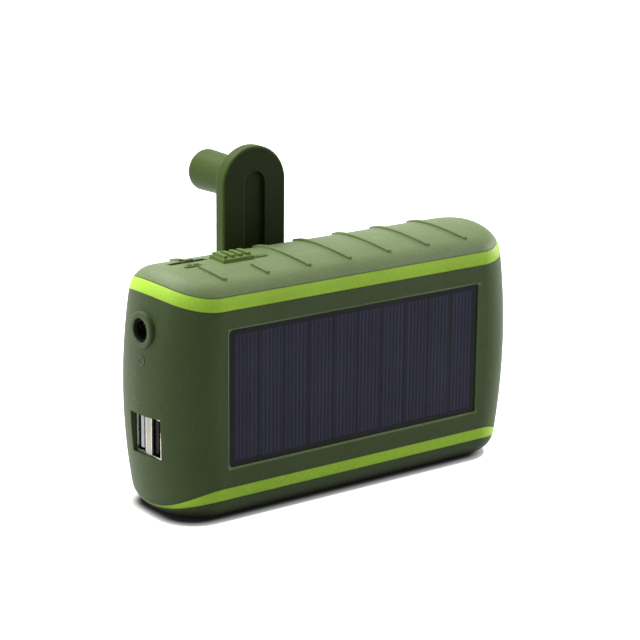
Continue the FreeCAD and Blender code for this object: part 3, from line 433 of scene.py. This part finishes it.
def arm_rim(detail, width):
    """A function that finds where the crank arm is painted lit: its rim and sides, which keep a lighter tone
    than its face painted in shade, and a painted highlight on the left lip of its channel.
    """
    def wear_and_highlight(finish):
        low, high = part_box("crank_arm")
        radius = (high.x - low.x) / 2
        channel = detail.channel_width
        across = finish.x - (low.x + high.x) / 2
        up = (finish.z - (high.z - radius)).most(0.0)
        reach = finish.distance(across, up)
        rim = reach.fade(radius - width, radius - width * 0.2)
        # Painted highlight: only the channel's left lip, the side that faces the light, is painted lighter.
        lip = 1 - abs(reach - (channel / 2 + 0.2 * MM)).fade(0.12 * MM, 0.34 * MM)
        on_left = 1 - across.fade(-channel * 0.3, -channel * 0.2)
        on_face = 1 - finish.y.fade(low.y + 0.1 * MM, low.y + 0.2 * MM)
        return rim.most(lip * on_left * on_face * 0.5)
    return wear_and_highlight


def paint(material, *nodes):
    """Give CAD pieces a material."""
    for node in nodes:
        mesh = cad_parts[node].data
        mesh.materials.clear()
        mesh.materials.append(material)


# Modelling by hand.

def alone(piece):
    """Make one piece the only selected and the active one."""
    bpy.ops.object.select_all(action="DESELECT")
    piece.select_set(True)
    bpy.context.view_layer.objects.active = piece


def edit(piece):
    """Enter edit mode on one piece, or stay in it."""
    if bpy.context.mode != "EDIT_MESH":
        alone(piece)
        bpy.ops.object.mode_set(mode="EDIT")


def start(name):
    """Name the newest piece and keep its place in its mesh."""
    piece = bpy.context.active_object
    piece.name = name
    piece.data.name = name
    bpy.ops.object.transform_apply(location=True, rotation=True, scale=True)
    return piece


def new_block(name, low, high):
    """Begin a piece as a block between two corners."""
    bpy.ops.object.select_all(action="DESELECT")
    low, high = Vector(low), Vector(high)
    bpy.ops.mesh.primitive_cube_add(size=1, location=(low + high) / 2, scale=high - low)
    return start(name)


def new_disc(name, radius, height, sides):
    """Begin a piece as a round blank that stands on the origin."""
    bpy.ops.object.select_all(action="DESELECT")
    bpy.ops.mesh.primitive_cylinder_add(vertices=sides, radius=radius, depth=height,
                                        location=(0, 0, height / 2))
    return start(name)


def choose(piece, kind, wanted):
    """In edit mode, select only those faces, edges or corners that the test accepts.

    The test gets each one's middle, and its normal or, for an edge, its direction.
    """
    edit(piece)
    bpy.ops.mesh.select_mode(type=kind)
    bpy.ops.mesh.select_all(action="DESELECT")
    cage = bmesh.from_edit_mesh(piece.data)
    cage.normal_update()
    chosen = 0
    for element in {"FACE": cage.faces, "EDGE": cage.edges, "VERT": cage.verts}[kind]:
        if kind == "FACE":
            place, way = element.calc_center_median(), element.normal
        elif kind == "EDGE":
            first, second = (corner.co for corner in element.verts)
            place, way = (first + second) / 2, (second - first).normalized()
        else:
            place, way = element.co, element.normal
        if wanted(place, way):
            element.select_set(True)
            chosen += 1
    if not chosen:
        raise RuntimeError("nothing was chosen on " + piece.name)
    bmesh.update_edit_mesh(piece.data)


def extrude(step):
    bpy.ops.mesh.extrude_region_move(TRANSFORM_OT_translate={"value": step})


def bevel(width, segments=2):
    bpy.ops.mesh.bevel(offset=width, segments=segments, affect="EDGES", clamp_overlap=True)


def tidy_shell(piece, angle=35):
    """Close seams, point faces outwards and smooth all edges but those sharper than the angle."""
    edit(piece)
    bpy.ops.mesh.select_mode(type="VERT")
    bpy.ops.mesh.select_all(action="SELECT")
    bpy.ops.mesh.remove_doubles(threshold=0.001 * MM)
    bpy.ops.mesh.normals_make_consistent(inside=False)
    bpy.ops.object.mode_set(mode="OBJECT")
    alone(piece)
    bpy.ops.object.shade_smooth_by_angle(angle=math.radians(angle))


def join(first, *others):
    """Make several blanks one piece."""
    alone(first)
    for other in others:
        other.select_set(True)
    bpy.ops.object.join()
    return first


def cut_away(piece, tool):
    """Take the tool's shape out of the piece."""
    alone(piece)
    bore = piece.modifiers.new("cut", "BOOLEAN")
    bore.operation = "DIFFERENCE"
    bore.solver = "EXACT"
    bore.object = tool
    bpy.ops.object.modifier_apply(modifier=bore.name)
    bpy.data.objects.remove(tool, do_unlink=True)


def copy_of(piece, name):
    """A second piece with a mesh of its own."""
    twin = piece.copy()
    twin.data = piece.data.copy()
    twin.name = twin.data.name = name
    bpy.context.scene.collection.objects.link(twin)
    return twin


def settle(piece, place, outwards=Z, up=Y):
    """Turn a piece's own +Z outwards and its +Y up, put it in place and keep that in its mesh."""
    outwards = Vector(outwards).normalized()
    across = Vector(up).cross(outwards).normalized()
    up = outwards.cross(across)
    turn = Matrix((across, up, outwards)).transposed().to_4x4()
    alone(piece)
    piece.matrix_world = Matrix.Translation(Vector(place)) @ turn
    bpy.ops.object.transform_apply(location=True, rotation=True, scale=True)


def touch(node, start_point, way):
    """Where a line first meets a CAD piece, and that surface's outward normal."""
    hit, place, normal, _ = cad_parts[node].ray_cast(Vector(start_point), Vector(way))
    if not hit:
        raise RuntimeError("nothing of " + node + " lies there")
    normal = normal if normal.dot(Vector(way)) < 0 else -normal
    return place, normal


def finish_piece(piece, material, body, slot, *nodes):
    """Give a new piece its material and its body, and hide the pieces that it stands for. The slot is not
    used.
    """
    piece.data.materials.clear()
    piece.data.materials.append(material)
    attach(piece, body)
    if nodes:
        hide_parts(*nodes)


# What a user may change.

def colour_choice(name, description, default):
    """A colour that the sidebar shows, given by its red, green and blue."""
    return FloatVectorProperty(name=name, description=description, default=(*default, 1),
                               subtype="COLOR", size=4, min=0, max=1)


def length_choice(name, description, default):
    """A length in metres that the sidebar shows."""
    return FloatProperty(name=name, description=description, default=default, unit="LENGTH")


def power_choice(name, description, default):
    """A lamp's power in watts that the sidebar shows."""
    return FloatProperty(name=name, description=description, default=default, unit="POWER")


class ChargerLook(bpy.types.PropertyGroup):
    """Colours and patterns."""

    case_colour: colour_choice("Case", "Colour of the sleeve and the base", (0.060, 0.088, 0.033))
    # Painted light: the top and its signs get a lighter colour than the case for the light that falls on the
    # top from above. It is not a faded top.
    lit_top_colour: colour_choice("Top", "Colour of the sun-faded top and its signs", (0.142, 0.198, 0.074))
    button_colour: colour_choice("Button", "Colour of the button. The switch, the knob and the arm's rim "
                                 "are darker versions of it", (0.150, 0.226, 0.060))
    # Painted shade: the arm's face gets this dark colour for the shade it stands in; its rim, sides and knob
    # take a lighter one.
    shaded_crank_colour: colour_choice("Crank arm", "Colour of the crank arm", (0.024, 0.034, 0.012))
    band_colour: colour_choice("Bands", "Colour of the two trim bands", (0.465, 0.810, 0.072))
    panel_colour: colour_choice("Cells", "Colour of the solar cells", (0.013, 0.013, 0.024))
    finger_colour: colour_choice("Fingers", "Colour of the lines that collect current",
                                 (0.050, 0.050, 0.115))
    finger_pitch: length_choice("Finger pitch", "Distance between collecting lines", 1.5 * MM)
    cell_count: IntProperty(name="Cell count", description="How many cells lie side by side", default=10)
    grain_depth: length_choice("Grain depth", "Depth of the moulded grain", 0.05 * MM)


class ChargerDetail(bpy.types.PropertyGroup):
    """Sizes of the fine pieces and of the seams."""

    grain_size: length_choice("Grain size", "Width of one grain of the moulded texture", 0.36 * MM)
    seam_height: length_choice("Seam height", "First seam above the panel's middle", 29.3 * MM)
    band_width: length_choice("Band width", "Width of a trim band", 4 * MM)
    seam_arch: length_choice("Seam arch", "How far a seam bows across the ends", 4 * MM)
    toe_arch: length_choice("Toe arch", "How far the lower band's upper seam bows there", 7.2 * MM)
    seam_width: length_choice("Seam line", "Half the width of the joint line", 0.22 * MM)
    rim_width: length_choice("Window rim", "Width of the bevel round the solar panel", 0.62 * MM)
    channel_width: length_choice("Channel width", "Width of the crank arm's channel", 8.4 * MM)
    contact_width: length_choice("Contact width", "Width of a socket's contact", 1.0 * MM)
    mark_height: length_choice("Mark height", "How far moulded signs stand out", 0.45 * MM)
    letter_size: length_choice("Letter size", "Height of the switch lettering", 1.25 * MM)


class ChargerStudio(bpy.types.PropertyGroup):
    """Light and camera."""

    key_power: power_choice("Key light", "Power of the large lamp above", 8.9)
    side_power: power_choice("Side light", "Power of the lamp beside the sockets", 4.2)
    front_power: power_choice("Front light", "Power of the weak lamp in front", 2.7)
    right_power: power_choice("Right light", "Power of the lamp past the right end", 9.0)
    fill: FloatProperty(name="Fill", description="Strength of the light from all round", default=0.2)
    # The floor's shadow is painted. These three give its shape.
    shadow_corner: length_choice("Shadow corner", "Corner radius of the shadow on the floor", 14 * MM)
    shadow_edge: length_choice("Shadow edge", "Width of the half-lit rim of the shadow", 5 * MM)
    shadow_lean: length_choice("Shadow lean", "How far the shadow lies off the middle", 3 * MM)
    floor_size: length_choice("Floor", "Width of the floor", 6.0)
    lens: FloatProperty(name="Lens", description="Focal length of the camera", unit="CAMERA", default=123.36)


# One operator for each group of pieces.

class CHARGER_OT_case(bpy.types.Operator):
    """Give the moulded case and its two bands their finishes"""

    bl_idname = "charger.case"
    bl_label = "Case"

    def execute(self, context):
        look, detail = context.scene.charger_look, context.scene.charger_detail
        grain = look.grain_depth
        paint(moulded("case_plastic", look.case_colour, detail, grain * 0.7, wear=top_wear, on_case=True),
              "housing_body", "bottom_cap")
        # Painted light: the top's lighter colour stands in for the light that falls on it.
        paint(moulded("top_plastic", look.lit_top_colour, detail, grain * 2.4, specular=0.4, wear=top_wear,
                      on_case=True), "top_cap")
        paint(moulded("band_plastic", look.band_colour, detail, grain * 0.25, 0.42, on_case=True),
              "upper_trim_band", "lower_trim_band")
        return {"FINISHED"}


class CHARGER_OT_panel(bpy.types.Operator):
    """Give the solar panel its cells, board and clear cover"""

    bl_idname = "charger.panel"
    bl_label = "Solar panel"

    def execute(self, context):
        paint(solar("cell_glass", context.scene.charger_look), "solar_cover", "solar_cells")
        paint(circuit("panel_board", (0.02, 0.03, 0.05)), "solar_board")
        return {"FINISHED"}


def label_plate(name, length, width, height):
    """A raised bar with rounded ends and a softened rim."""
    piece = new_block(name, (-length / 2, -width / 2, -height), (length / 2, width / 2, height))
    choose(piece, "EDGE", lambda place, way: abs(way.z) > 0.9)
    bevel(width * 0.3, 3)
    choose(piece, "EDGE", lambda place, way: abs(way.z) < 0.1 and place.z > height * 0.9)
    bevel(height * 0.3)
    tidy_shell(piece)
    return piece


def lettering(text, size, height):
    """Raised letters with their middle on the origin."""
    bpy.ops.object.select_all(action="DESELECT")
    bpy.ops.object.text_add()
    words = bpy.context.active_object
    words.data.body = text
    words.data.size = size
    words.data.extrude = height
    words.data.resolution_u = 3
    words.data.align_x = "CENTER"
    words.data.align_y = "CENTER"
    bpy.ops.object.convert(target="MESH")
    words = bpy.context.active_object
    words.name = words.data.name = "letters"
    tidy_shell(words)
    return words


def switch_sign(detail):
    """A raised bar that says OFF and ON."""
    height = detail.mark_height
    plate = label_plate("switch_sign", length=6.4 * MM, width=1.6 * MM, height=height)
    letters = lettering("OFF ON", detail.letter_size, height * 0.5)
    settle(letters, (0, 0, height))
    return join(plate, letters)


def button_sign(detail):
    """A raised bar with three dots in a row."""
    height, dot_radius, dot_step = detail.mark_height, 0.36 * MM, 1.4 * MM
    plate = label_plate("button_sign", length=5 * MM, width=1.6 * MM, height=height)
    dots = []
    for step in (-1, 0, 1):
        dot = new_disc("dot", dot_radius, height * 0.4, sides=20)
        choose(dot, "EDGE", lambda place, way: abs(way.z) < 0.1 and place.z > height * 0.3)
        bevel(height * 0.15)
        tidy_shell(dot)
        settle(dot, (step * dot_step, 0, height))
        dots.append(dot)
    return join(plate, *dots)


class CHARGER_OT_controls(bpy.types.Operator):
    """Finish the button and the switch and model the signs beside them"""

    bl_idname = "charger.controls"
    bl_label = "Controls"

    def execute(self, context):
        look, detail = context.scene.charger_look, context.scene.charger_detail
        grain = look.grain_depth
        paint(moulded("button_plastic", look.button_colour, detail, grain * 0.6, 0.46), "power_button")
        paint(moulded("nib_plastic", shade(look.button_colour, 0.7), detail, grain * 0.3, 0.4),
              "mode_switch_knob")
        paint(metal("switch_tin", (0.66, 0.66, 0.64), 0.36), "button_switch", "mode_switch_case")
        # The signs take the top's lighter colour, which paints the light on the top.
        plastic = moulded("sign_plastic", look.lit_top_colour, detail, grain * 0.3, 0.45)
        nib = centre("mode_switch_knob")
        low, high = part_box("power_button")
        # Each sign, and where it lies beside its control.
        signs = ((switch_sign(detail), nib.x - 1.8 * MM, nib.y - 6 * MM),
                 (button_sign(detail), high.x + 2.6 * MM, low.y + 1.8 * MM))
        for sign, x, y in signs:
            place, normal = touch("top_cap", (x, y, FAR), -Z)
            settle(sign, place, normal, Y)
            finish_piece(sign, plastic, "case", "olive_case")
        return {"FINISHED"}


def contact(detail, node, offset):
    """One gilt contact with its nose turned down over the tongue's tip."""
    low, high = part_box(node)
    nose, tail, half, proud = 0.9 * MM, 8.5 * MM, detail.contact_width / 2, 0.15 * MM
    middle = (low.z + high.z) / 2 + offset
    face, _ = touch(node, (low.x + 3 * MM, low.y - 5 * MM, middle), Y)
    piece = new_block("contact", (low.x + nose, face.y - proud, middle - half),
                      (low.x + tail, face.y, middle + half))
    choose(piece, "FACE", lambda place, way: way.x < -0.9)
    for run, drop in ((-0.35, 0.10), (-0.12, 0.16)):
        extrude((run * MM, drop * MM, 0))
    choose(piece, "EDGE", lambda place, way: abs(way.x) > 0.5 and place.y < face.y - proud / 2)
    bevel(0.05 * MM)
    tidy_shell(piece)
    return piece


def leaf(name, length, width, thick, rise):
    """A sprung leaf along +X that bows up in +Z, its root sunk below the surface."""
    piece = new_block(name, (0, -width / 2, -thick), (length * 0.2, width / 2, 0))
    bends = ((0.22, 0.55), (0.2, 0.3), (0.2, -0.15), (0.18, -0.45))
    for run, lift in bends:
        edit(piece)
        tip = max(face.calc_center_median().x for face in bmesh.from_edit_mesh(piece.data).faces)
        choose(piece, "FACE", lambda place, way: place.x > tip - 0.0001 * MM)
        extrude((length * run, 0, rise * lift))
    choose(piece, "EDGE", lambda place, way: abs(way.y) < 0.3 and abs(place.y) > width * 0.49)
    bevel(thick * 0.2)
    tidy_shell(piece, 50)
    return piece


def socket_springs(end):
    """The two sprung leaves on the front wall of one socket's shell."""
    shell = "usb_shell_" + end
    low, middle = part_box(shell)[0], centre(shell)
    wall, _ = touch(shell, (low.x + 3 * MM, low.y + 1 * MM, middle.z), -Y)
    springs = []
    for offset in SPRING_PLACES:
        spring = leaf("spring", length=6 * MM, width=2.2 * MM, thick=0.22 * MM, rise=0.7 * MM)
        settle(spring, (low.x + 1.6 * MM, wall.y + 0.05 * MM, middle.z + offset * MM), Y, -Z)
        springs.append(spring)
    return join(*springs)


class CHARGER_OT_sockets(bpy.types.Operator):
    """Model the contacts and sprung leaves of the two sockets and finish their shells"""

    bl_idname = "charger.sockets"
    bl_label = "USB sockets"

    def execute(self, context):
        detail = context.scene.charger_detail
        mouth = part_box("usb_shell_rear")[0].x
        # Painted shade: from the mouth inwards the shells, springs, divider and rear tongue are painted
        # darker, as in the sockets' shadow.
        steel = metal("socket_steel", (0.50, 0.49, 0.45), 0.27, (0.1, 1.0, 1.0), shade_from=mouth)
        gilt = metal("contact_gilt", (0.83, 0.62, 0.28), 0.22, (0.1, 1.0, 1.0))
        paint(steel, "usb_shell_front", "usb_shell_rear")
        paint(smooth_plastic("socket_plastic", (0.66, 0.63, 0.52), 0.4, shade_from=mouth + 2 * MM),
              "usb_divider")
        paint(smooth_plastic("tongue_plastic", (0.72, 0.78, 0.82), 0.4, shade_from=mouth + 3 * MM),
              "usb_tongue_rear")
        # Painted shade: the front tongue is painted near black for the shadow it lies in. The rear tongue is
        # pale plastic.
        paint(smooth_plastic("socket_black", (0.012, 0.012, 0.012), 0.5, specular=0.1), "usb_tongue_front")
        for end in ("front", "rear"):
            strips = join(*[contact(detail, "usb_tongue_" + end, offset * MM) for offset in CONTACT_PLACES])
            strips.name = "usb_contacts_" + end
            finish_piece(strips, gilt, "case", "plated_pin")
            springs = socket_springs(end)
            springs.name = "usb_springs_" + end
            finish_piece(springs, steel, "case", "socket_steel")
        return {"FINISHED"}


def power_sign(name, radius, stroke, height):
    """A ring with a gap and a bar through the gap, half sunk in the surface."""
    gap, quarter = math.radians(70), math.radians(90)
    turn = quarter + gap / 2
    spot = (radius * math.cos(turn), radius * math.sin(turn), 0)
    bpy.ops.object.select_all(action="DESELECT")
    bpy.ops.mesh.primitive_plane_add(size=stroke, location=spot, rotation=(quarter, 0, turn))
    ring = start(name)
    choose(ring, "FACE", lambda place, way: True)
    bpy.ops.transform.resize(value=(1, 1, height / stroke), center_override=spot)
    bpy.ops.mesh.spin(steps=40, angle=4 * quarter - gap, center=(0, 0, 0), axis=(0, 0, 1))
    bpy.ops.mesh.select_all(action="SELECT")
    bpy.ops.mesh.fill_holes(sides=4)
    tidy_shell(ring)
    bar = new_block("bar", (-stroke / 2, radius * 0.25, -height / 2), (stroke / 2, radius * 1.25, height / 2))
    choose(bar, "EDGE", lambda place, way: abs(way.z) > 0.9)
    bevel(stroke * 0.35, 3)
    tidy_shell(bar)
    return join(ring, bar)


class CHARGER_OT_jack(bpy.types.Operator):
    """Finish the round charging jack, add its sprung leaf and the sign below it"""

    bl_idname = "charger.jack"
    bl_label = "Charging jack"

    def execute(self, context):
        paint(smooth_plastic("jack_plastic", (0.005, 0.005, 0.005), 0.6, specular=0.05), "jack_body")
        plated = metal("pin_plate", (0.80, 0.78, 0.72), 0.16, (1.0, 0.2, 0.2))
        paint(plated, "jack_pin")
        middle = centre("jack_pin")
        pin_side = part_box("jack_pin")[1].y
        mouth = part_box("jack_body")[0].x
        wall, _ = touch("jack_body", (middle.x, pin_side + 0.3 * MM, middle.z), Y)
        spring = leaf("jack_spring", length=6.4 * MM, width=3.4 * MM, thick=0.3 * MM, rise=0.9 * MM)
        settle(spring, (mouth + 0.9 * MM, wall.y - 0.05 * MM, middle.z), -Y, Z)
        finish_piece(spring, plated, "case", "plated_pin")
        place, normal = touch("housing_body", (-FAR, middle.y - 0.5 * MM, middle.z - 9.7 * MM), X)
        sign = power_sign("power_sign", radius=1.55 * MM, stroke=0.5 * MM,
                          height=context.scene.charger_detail.mark_height * 0.8)
        settle(sign, place, normal, Z)
        ink = smooth_plastic("sign_ink", (0.014, 0.018, 0.011), 0.3)
        finish_piece(sign, ink, "case", "olive_case")
        return {"FINISHED"}


def phillips_screw(name, head, height, shank, length):
    """A pan-head screw with a cross recess. Its head's face lies on the origin's plane.

    head and shank are radii, height is the head's and length the shank's.
    """
    screw = new_disc(name, head, height, sides=48)
    choose(screw, "EDGE", lambda place, way: abs(way.z) < 0.1 and place.z > height * 0.9)
    bevel(height * 0.35, 4)
    if length:
        choose(screw, "FACE", lambda place, way: way.z < -0.9)
        bpy.ops.mesh.inset(thickness=head - shank)
        extrude((0, 0, -length))
        choose(screw, "EDGE", lambda place, way: abs(way.z) < 0.1 and place.z < 0.1 * MM - length)
        bevel(shank * 0.45)
    tidy_shell(screw)
    arm, wide, deep, taper = head * 0.62, head * 0.17, height * 0.75, 0.55
    cross = new_block("cross", (-wide, -wide, height - deep), (wide, wide, height + deep))
    for axis in (X, Y):
        for side in (1, -1):
            choose(cross, "FACE", lambda place, way: way.dot(axis) * side > 0.9 and
                   abs(place.dot(axis)) < wide * 1.1 and abs(place.x * place.y) < wide * wide * 0.5)
            extrude(axis * (arm - wide) * side)
    choose(cross, "VERT", lambda place, way: place.z < height)
    bpy.ops.transform.resize(value=(taper, taper, 1), center_override=(0, 0, height - deep))
    tidy_shell(cross)
    cut_away(screw, cross)
    tidy_shell(screw)
    settle(screw, (0, 0, -height))
    return screw


class CHARGER_OT_crank(bpy.types.Operator):
    """Finish the folding crank and model the screw in its knob"""

    bl_idname = "charger.crank"
    bl_label = "Crank"

    def execute(self, context):
        look, detail = context.scene.charger_look, context.scene.charger_detail
        grain = look.grain_depth
        # Painted shade and highlight: the arm's face is painted dark as in shade, and its rim, sides and
        # channel lip lighter as lit.
        dark_green = shade(look.button_colour, 0.48)
        paint(moulded("arm_plastic", look.shaded_crank_colour, detail, grain * 0.35, 0.42, specular=0.06,
                      rim=(arm_rim(detail, 1.1 * MM), dark_green)), "crank_arm")
        paint(moulded("knob_plastic", dark_green, detail, grain * 0.3, 0.42, specular=0.06), "knob")
        paint(moulded("hub_paint", (0.03, 0.035, 0.025), detail, grain * 0.4, 0.45), "crank_hub")
        paint(metal("pin_steel", (0.58, 0.58, 0.57), 0.2, (0.15, 1.0, 1.0)),
              "hinge_pin", "knob_axle", "idler_axle_one", "idler_axle_two", "rotor_shaft")
        paint(metal("bush_brass", (0.60, 0.44, 0.18), 0.3, (1.0, 0.2, 1.0)), "hub_bush")
        paint(screw_steel(), "shaft_clip", "frame_screws", "knob_screw", "cap_screws")
        low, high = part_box("knob_screw")
        middle = centre("knob_screw")
        screw = phillips_screw("knob_end_screw", (high.x - low.x) / 2, high.y - low.y, shank=0, length=0)
        settle(screw, (middle.x, high.y, middle.z), Y, Z)
        finish_piece(screw, screw_steel(), "arm", "screw_steel", "knob_screw")
        return {"FINISHED"}


class CHARGER_OT_base_screws(bpy.types.Operator):
    """Model the two screws that hold the base, in place of their plain blanks"""

    bl_idname = "charger.base_screws"
    bl_label = "Base screws"

    def execute(self, context):
        low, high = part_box("cap_screws")
        head, head_height, shank = (high.y - low.y) / 2, 1.6 * MM, 1.45 * MM
        askew = (0.5, 0.8, 0)
        left = phillips_screw("base_screw_left", head, head_height, shank, high.z - low.z - head_height)
        right = copy_of(left, "base_screw_right")
        settle(left, (low.x + head, 0, low.z), -Z, Y)
        settle(right, (high.x - head, 0, low.z), -Z, askew)
        for screw in (left, right):
            finish_piece(screw, screw_steel(), "case", "screw_steel", "cap_screws")
        return {"FINISHED"}


class CHARGER_OT_gears(bpy.types.Operator):
    """Finish the gear train and the generator"""

    bl_idname = "charger.gears"
    bl_label = "Gears and generator"

    def execute(self, context):
        paint(smooth_plastic("gear_nylon", (0.74, 0.71, 0.62), 0.38, relief=0.012 * MM, cloud=0.3),
              "drive_gear", "idler_gear_one", "idler_gear_two", "rotor_pinion")
        paint(metal("frame_steel", (0.52, 0.52, 0.50), 0.34, (0.15, 1.0, 1.0), stain=0.3),
              "gear_frame_front", "gear_frame_rear", "stator_case")
        paint(windings("coil_copper", (0.62, 0.24, 0.09)), "stator_coils")
        paint(metal("magnet_grey", (0.16, 0.16, 0.17), 0.45, stain=0.4, line=0.6 * MM), "rotor_magnet")
        return {"FINISHED"}


class CHARGER_OT_electronics(bpy.types.Operator):
    """Finish the boards, their parts and the battery"""

    bl_idname = "charger.electronics"
    bl_label = "Boards and battery"

    def execute(self, context):
        paint(circuit("green_board", (0.012, 0.11, 0.04)), "main_board", "control_board")
        paint(smooth_plastic("chip_black", (0.024, 0.024, 0.026), 0.5, relief=0.02 * MM), "board_parts")
        paint(wrap("battery_wrap", (0.46, 0.50, 0.56)), "battery_pack")
        return {"FINISHED"}


def grey(value):
    """A grey from 0, black, to 1, white."""
    return (value, value, value, 1)


def paper_floor(studio):
    """White paper with a shadow painted under the object in the shape of its base, plain white round it."""
    paper = Finish("paper", Roughness=0.9, Specular_IOR_Level=0.1, Emission_Strength=1.0)
    seen = paper.in_view()
    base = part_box("bottom_cap")[1]
    corner, edge = studio.shadow_corner, studio.shadow_edge
    tuck, inner_rim, outer_rim = 1.2 * MM, 0.9 * MM, 0.4 * MM
    half_x, half_y = base.x - tuck, base.y
    past_x = (abs(paper.x + studio.shadow_lean) - (half_x - corner)).most(0.0)
    past_y = (abs(paper.y) - (half_y - corner)).most(0.0)
    away = paper.distance(past_x, past_y) - corner
    pale = paper.mixed(paper.noise(4 * MM, layers=3.0) * 0.02, grey(0.86), grey(0.9))
    # Painted shadow: the paper is darkened inside the outline of the base.
    pale = paper.mixed(1 - away.fade(-edge, 0.0), pale, grey(0.03))
    # Painted shadow: for the camera the paper glows from near black inside the outline to grey at its
    # half-lit rim, and plain white beyond.
    painted_shadow_ramp = paper.mixed(away.fade(-edge, -outer_rim), grey(0.004), grey(0.2))
    glow = paper.mixed(away.fade(-inner_rim, outer_rim), painted_shadow_ramp, WHITE)
    paper.feed(paper.shader.inputs["Emission Color"], paper.mixed(seen, BLACK, glow))
    return paper.done(paper.mixed(seen, grey(0.3), pale))


def lay_floor(studio):
    """A slab of paper just below the base, with rounded edges."""
    half, thick, drop, rounding = studio.floor_size / 2, 20 * MM, 0.2 * MM, 10 * MM
    floor = new_block("floor", (-half, -half, -thick), (half, half, -drop))
    choose(floor, "EDGE", lambda place, way: abs(way.z) < 0.1 and place.z > -thick / 2)
    bevel(rounding, 3)
    tidy_shell(floor)
    floor.data.materials.append(paper_floor(studio))


def hang_lamps(studio):
    """Round area lamps that look at the object."""
    for name, place, width in LAMPS:
        bpy.ops.object.select_all(action="DESELECT")
        bpy.ops.object.light_add(type="AREA", location=place)
        lamp = bpy.context.active_object
        lamp.name = lamp.data.name = name + "_lamp"
        lamp.data.shape = "DISK"
        lamp.data.size = width
        lamp.data.energy = getattr(studio, name + "_power")
        lamp.rotation_euler = (LAMP_AIM - Vector(place)).to_track_quat("-Z", "Y").to_euler()


def light_surroundings(studio):
    """A weak light from all round, where the camera sees plain white."""
    world = bpy.context.scene.world or bpy.data.worlds.new("studio")
    bpy.context.scene.world = world
    world.use_nodes = True
    surroundings = Nodes(world.node_tree)
    sky = world.node_tree.nodes["Background"]
    surroundings.feed(sky.inputs["Color"], WHITE)
    surroundings.feed(sky.inputs["Strength"], surroundings.in_view() * (1 - studio.fill) + studio.fill)


def place_camera(studio):
    """Stand the camera in front of the left end, turned a little down."""
    turn = Matrix((CAMERA_RIGHT, CAMERA_RIGHT.cross(CAMERA_FORWARD), -CAMERA_FORWARD)).transposed().to_4x4()
    view = bpy.data.cameras.new("camera")
    view.lens = studio.lens
    view.sensor_width = SENSOR_WIDTH
    camera = bpy.data.objects.new("camera", view)
    bpy.context.scene.collection.objects.link(camera)
    camera.matrix_world = Matrix.Translation(CAMERA_PLACE) @ turn
    bpy.context.scene.camera = camera


class CHARGER_OT_studio(bpy.types.Operator):
    """Set up the floor, the lamps, the white surroundings and the camera"""

    bl_idname = "charger.studio"
    bl_label = "Studio"

    def execute(self, context):
        studio = context.scene.charger_studio
        lay_floor(studio)
        hang_lamps(studio)
        light_surroundings(studio)
        place_camera(studio)
        context.scene.view_settings.view_transform = "Standard"
        return {"FINISHED"}


GROUPS = {"charger_look": ChargerLook, "charger_detail": ChargerDetail, "charger_studio": ChargerStudio}
STEPS = (CHARGER_OT_case, CHARGER_OT_panel, CHARGER_OT_controls, CHARGER_OT_sockets, CHARGER_OT_jack,
         CHARGER_OT_crank, CHARGER_OT_base_screws, CHARGER_OT_gears, CHARGER_OT_electronics,
         CHARGER_OT_studio)


class CHARGER_PT_panel(bpy.types.Panel):
    """Lists the steps and what they can change"""

    bl_idname = "CHARGER_PT_panel"
    bl_label = "Hand crank charger"
    bl_space_type = "VIEW_3D"
    bl_region_type = "UI"
    bl_category = "Charger"

    def draw(self, context):
        for name, group in GROUPS.items():
            box = self.layout.box()
            for prop in group.__annotations__:
                box.prop(getattr(context.scene, name), prop)
        for step in STEPS:
            self.layout.operator(step.bl_idname)


def register():
    for item in (*GROUPS.values(), *STEPS, CHARGER_PT_panel):
        bpy.utils.register_class(item)
    for name, group in GROUPS.items():
        setattr(bpy.types.Scene, name, PointerProperty(type=group))


def unregister():
    for name in GROUPS:
        delattr(bpy.types.Scene, name)
    for item in (CHARGER_PT_panel, *reversed(STEPS), *GROUPS.values()):
        bpy.utils.unregister_class(item)


def main():
    register()
    for step in STEPS:
        group, name = step.bl_idname.split(".")
        getattr(getattr(bpy.ops, group), name)()


if __name__ == "__main__":
    main()
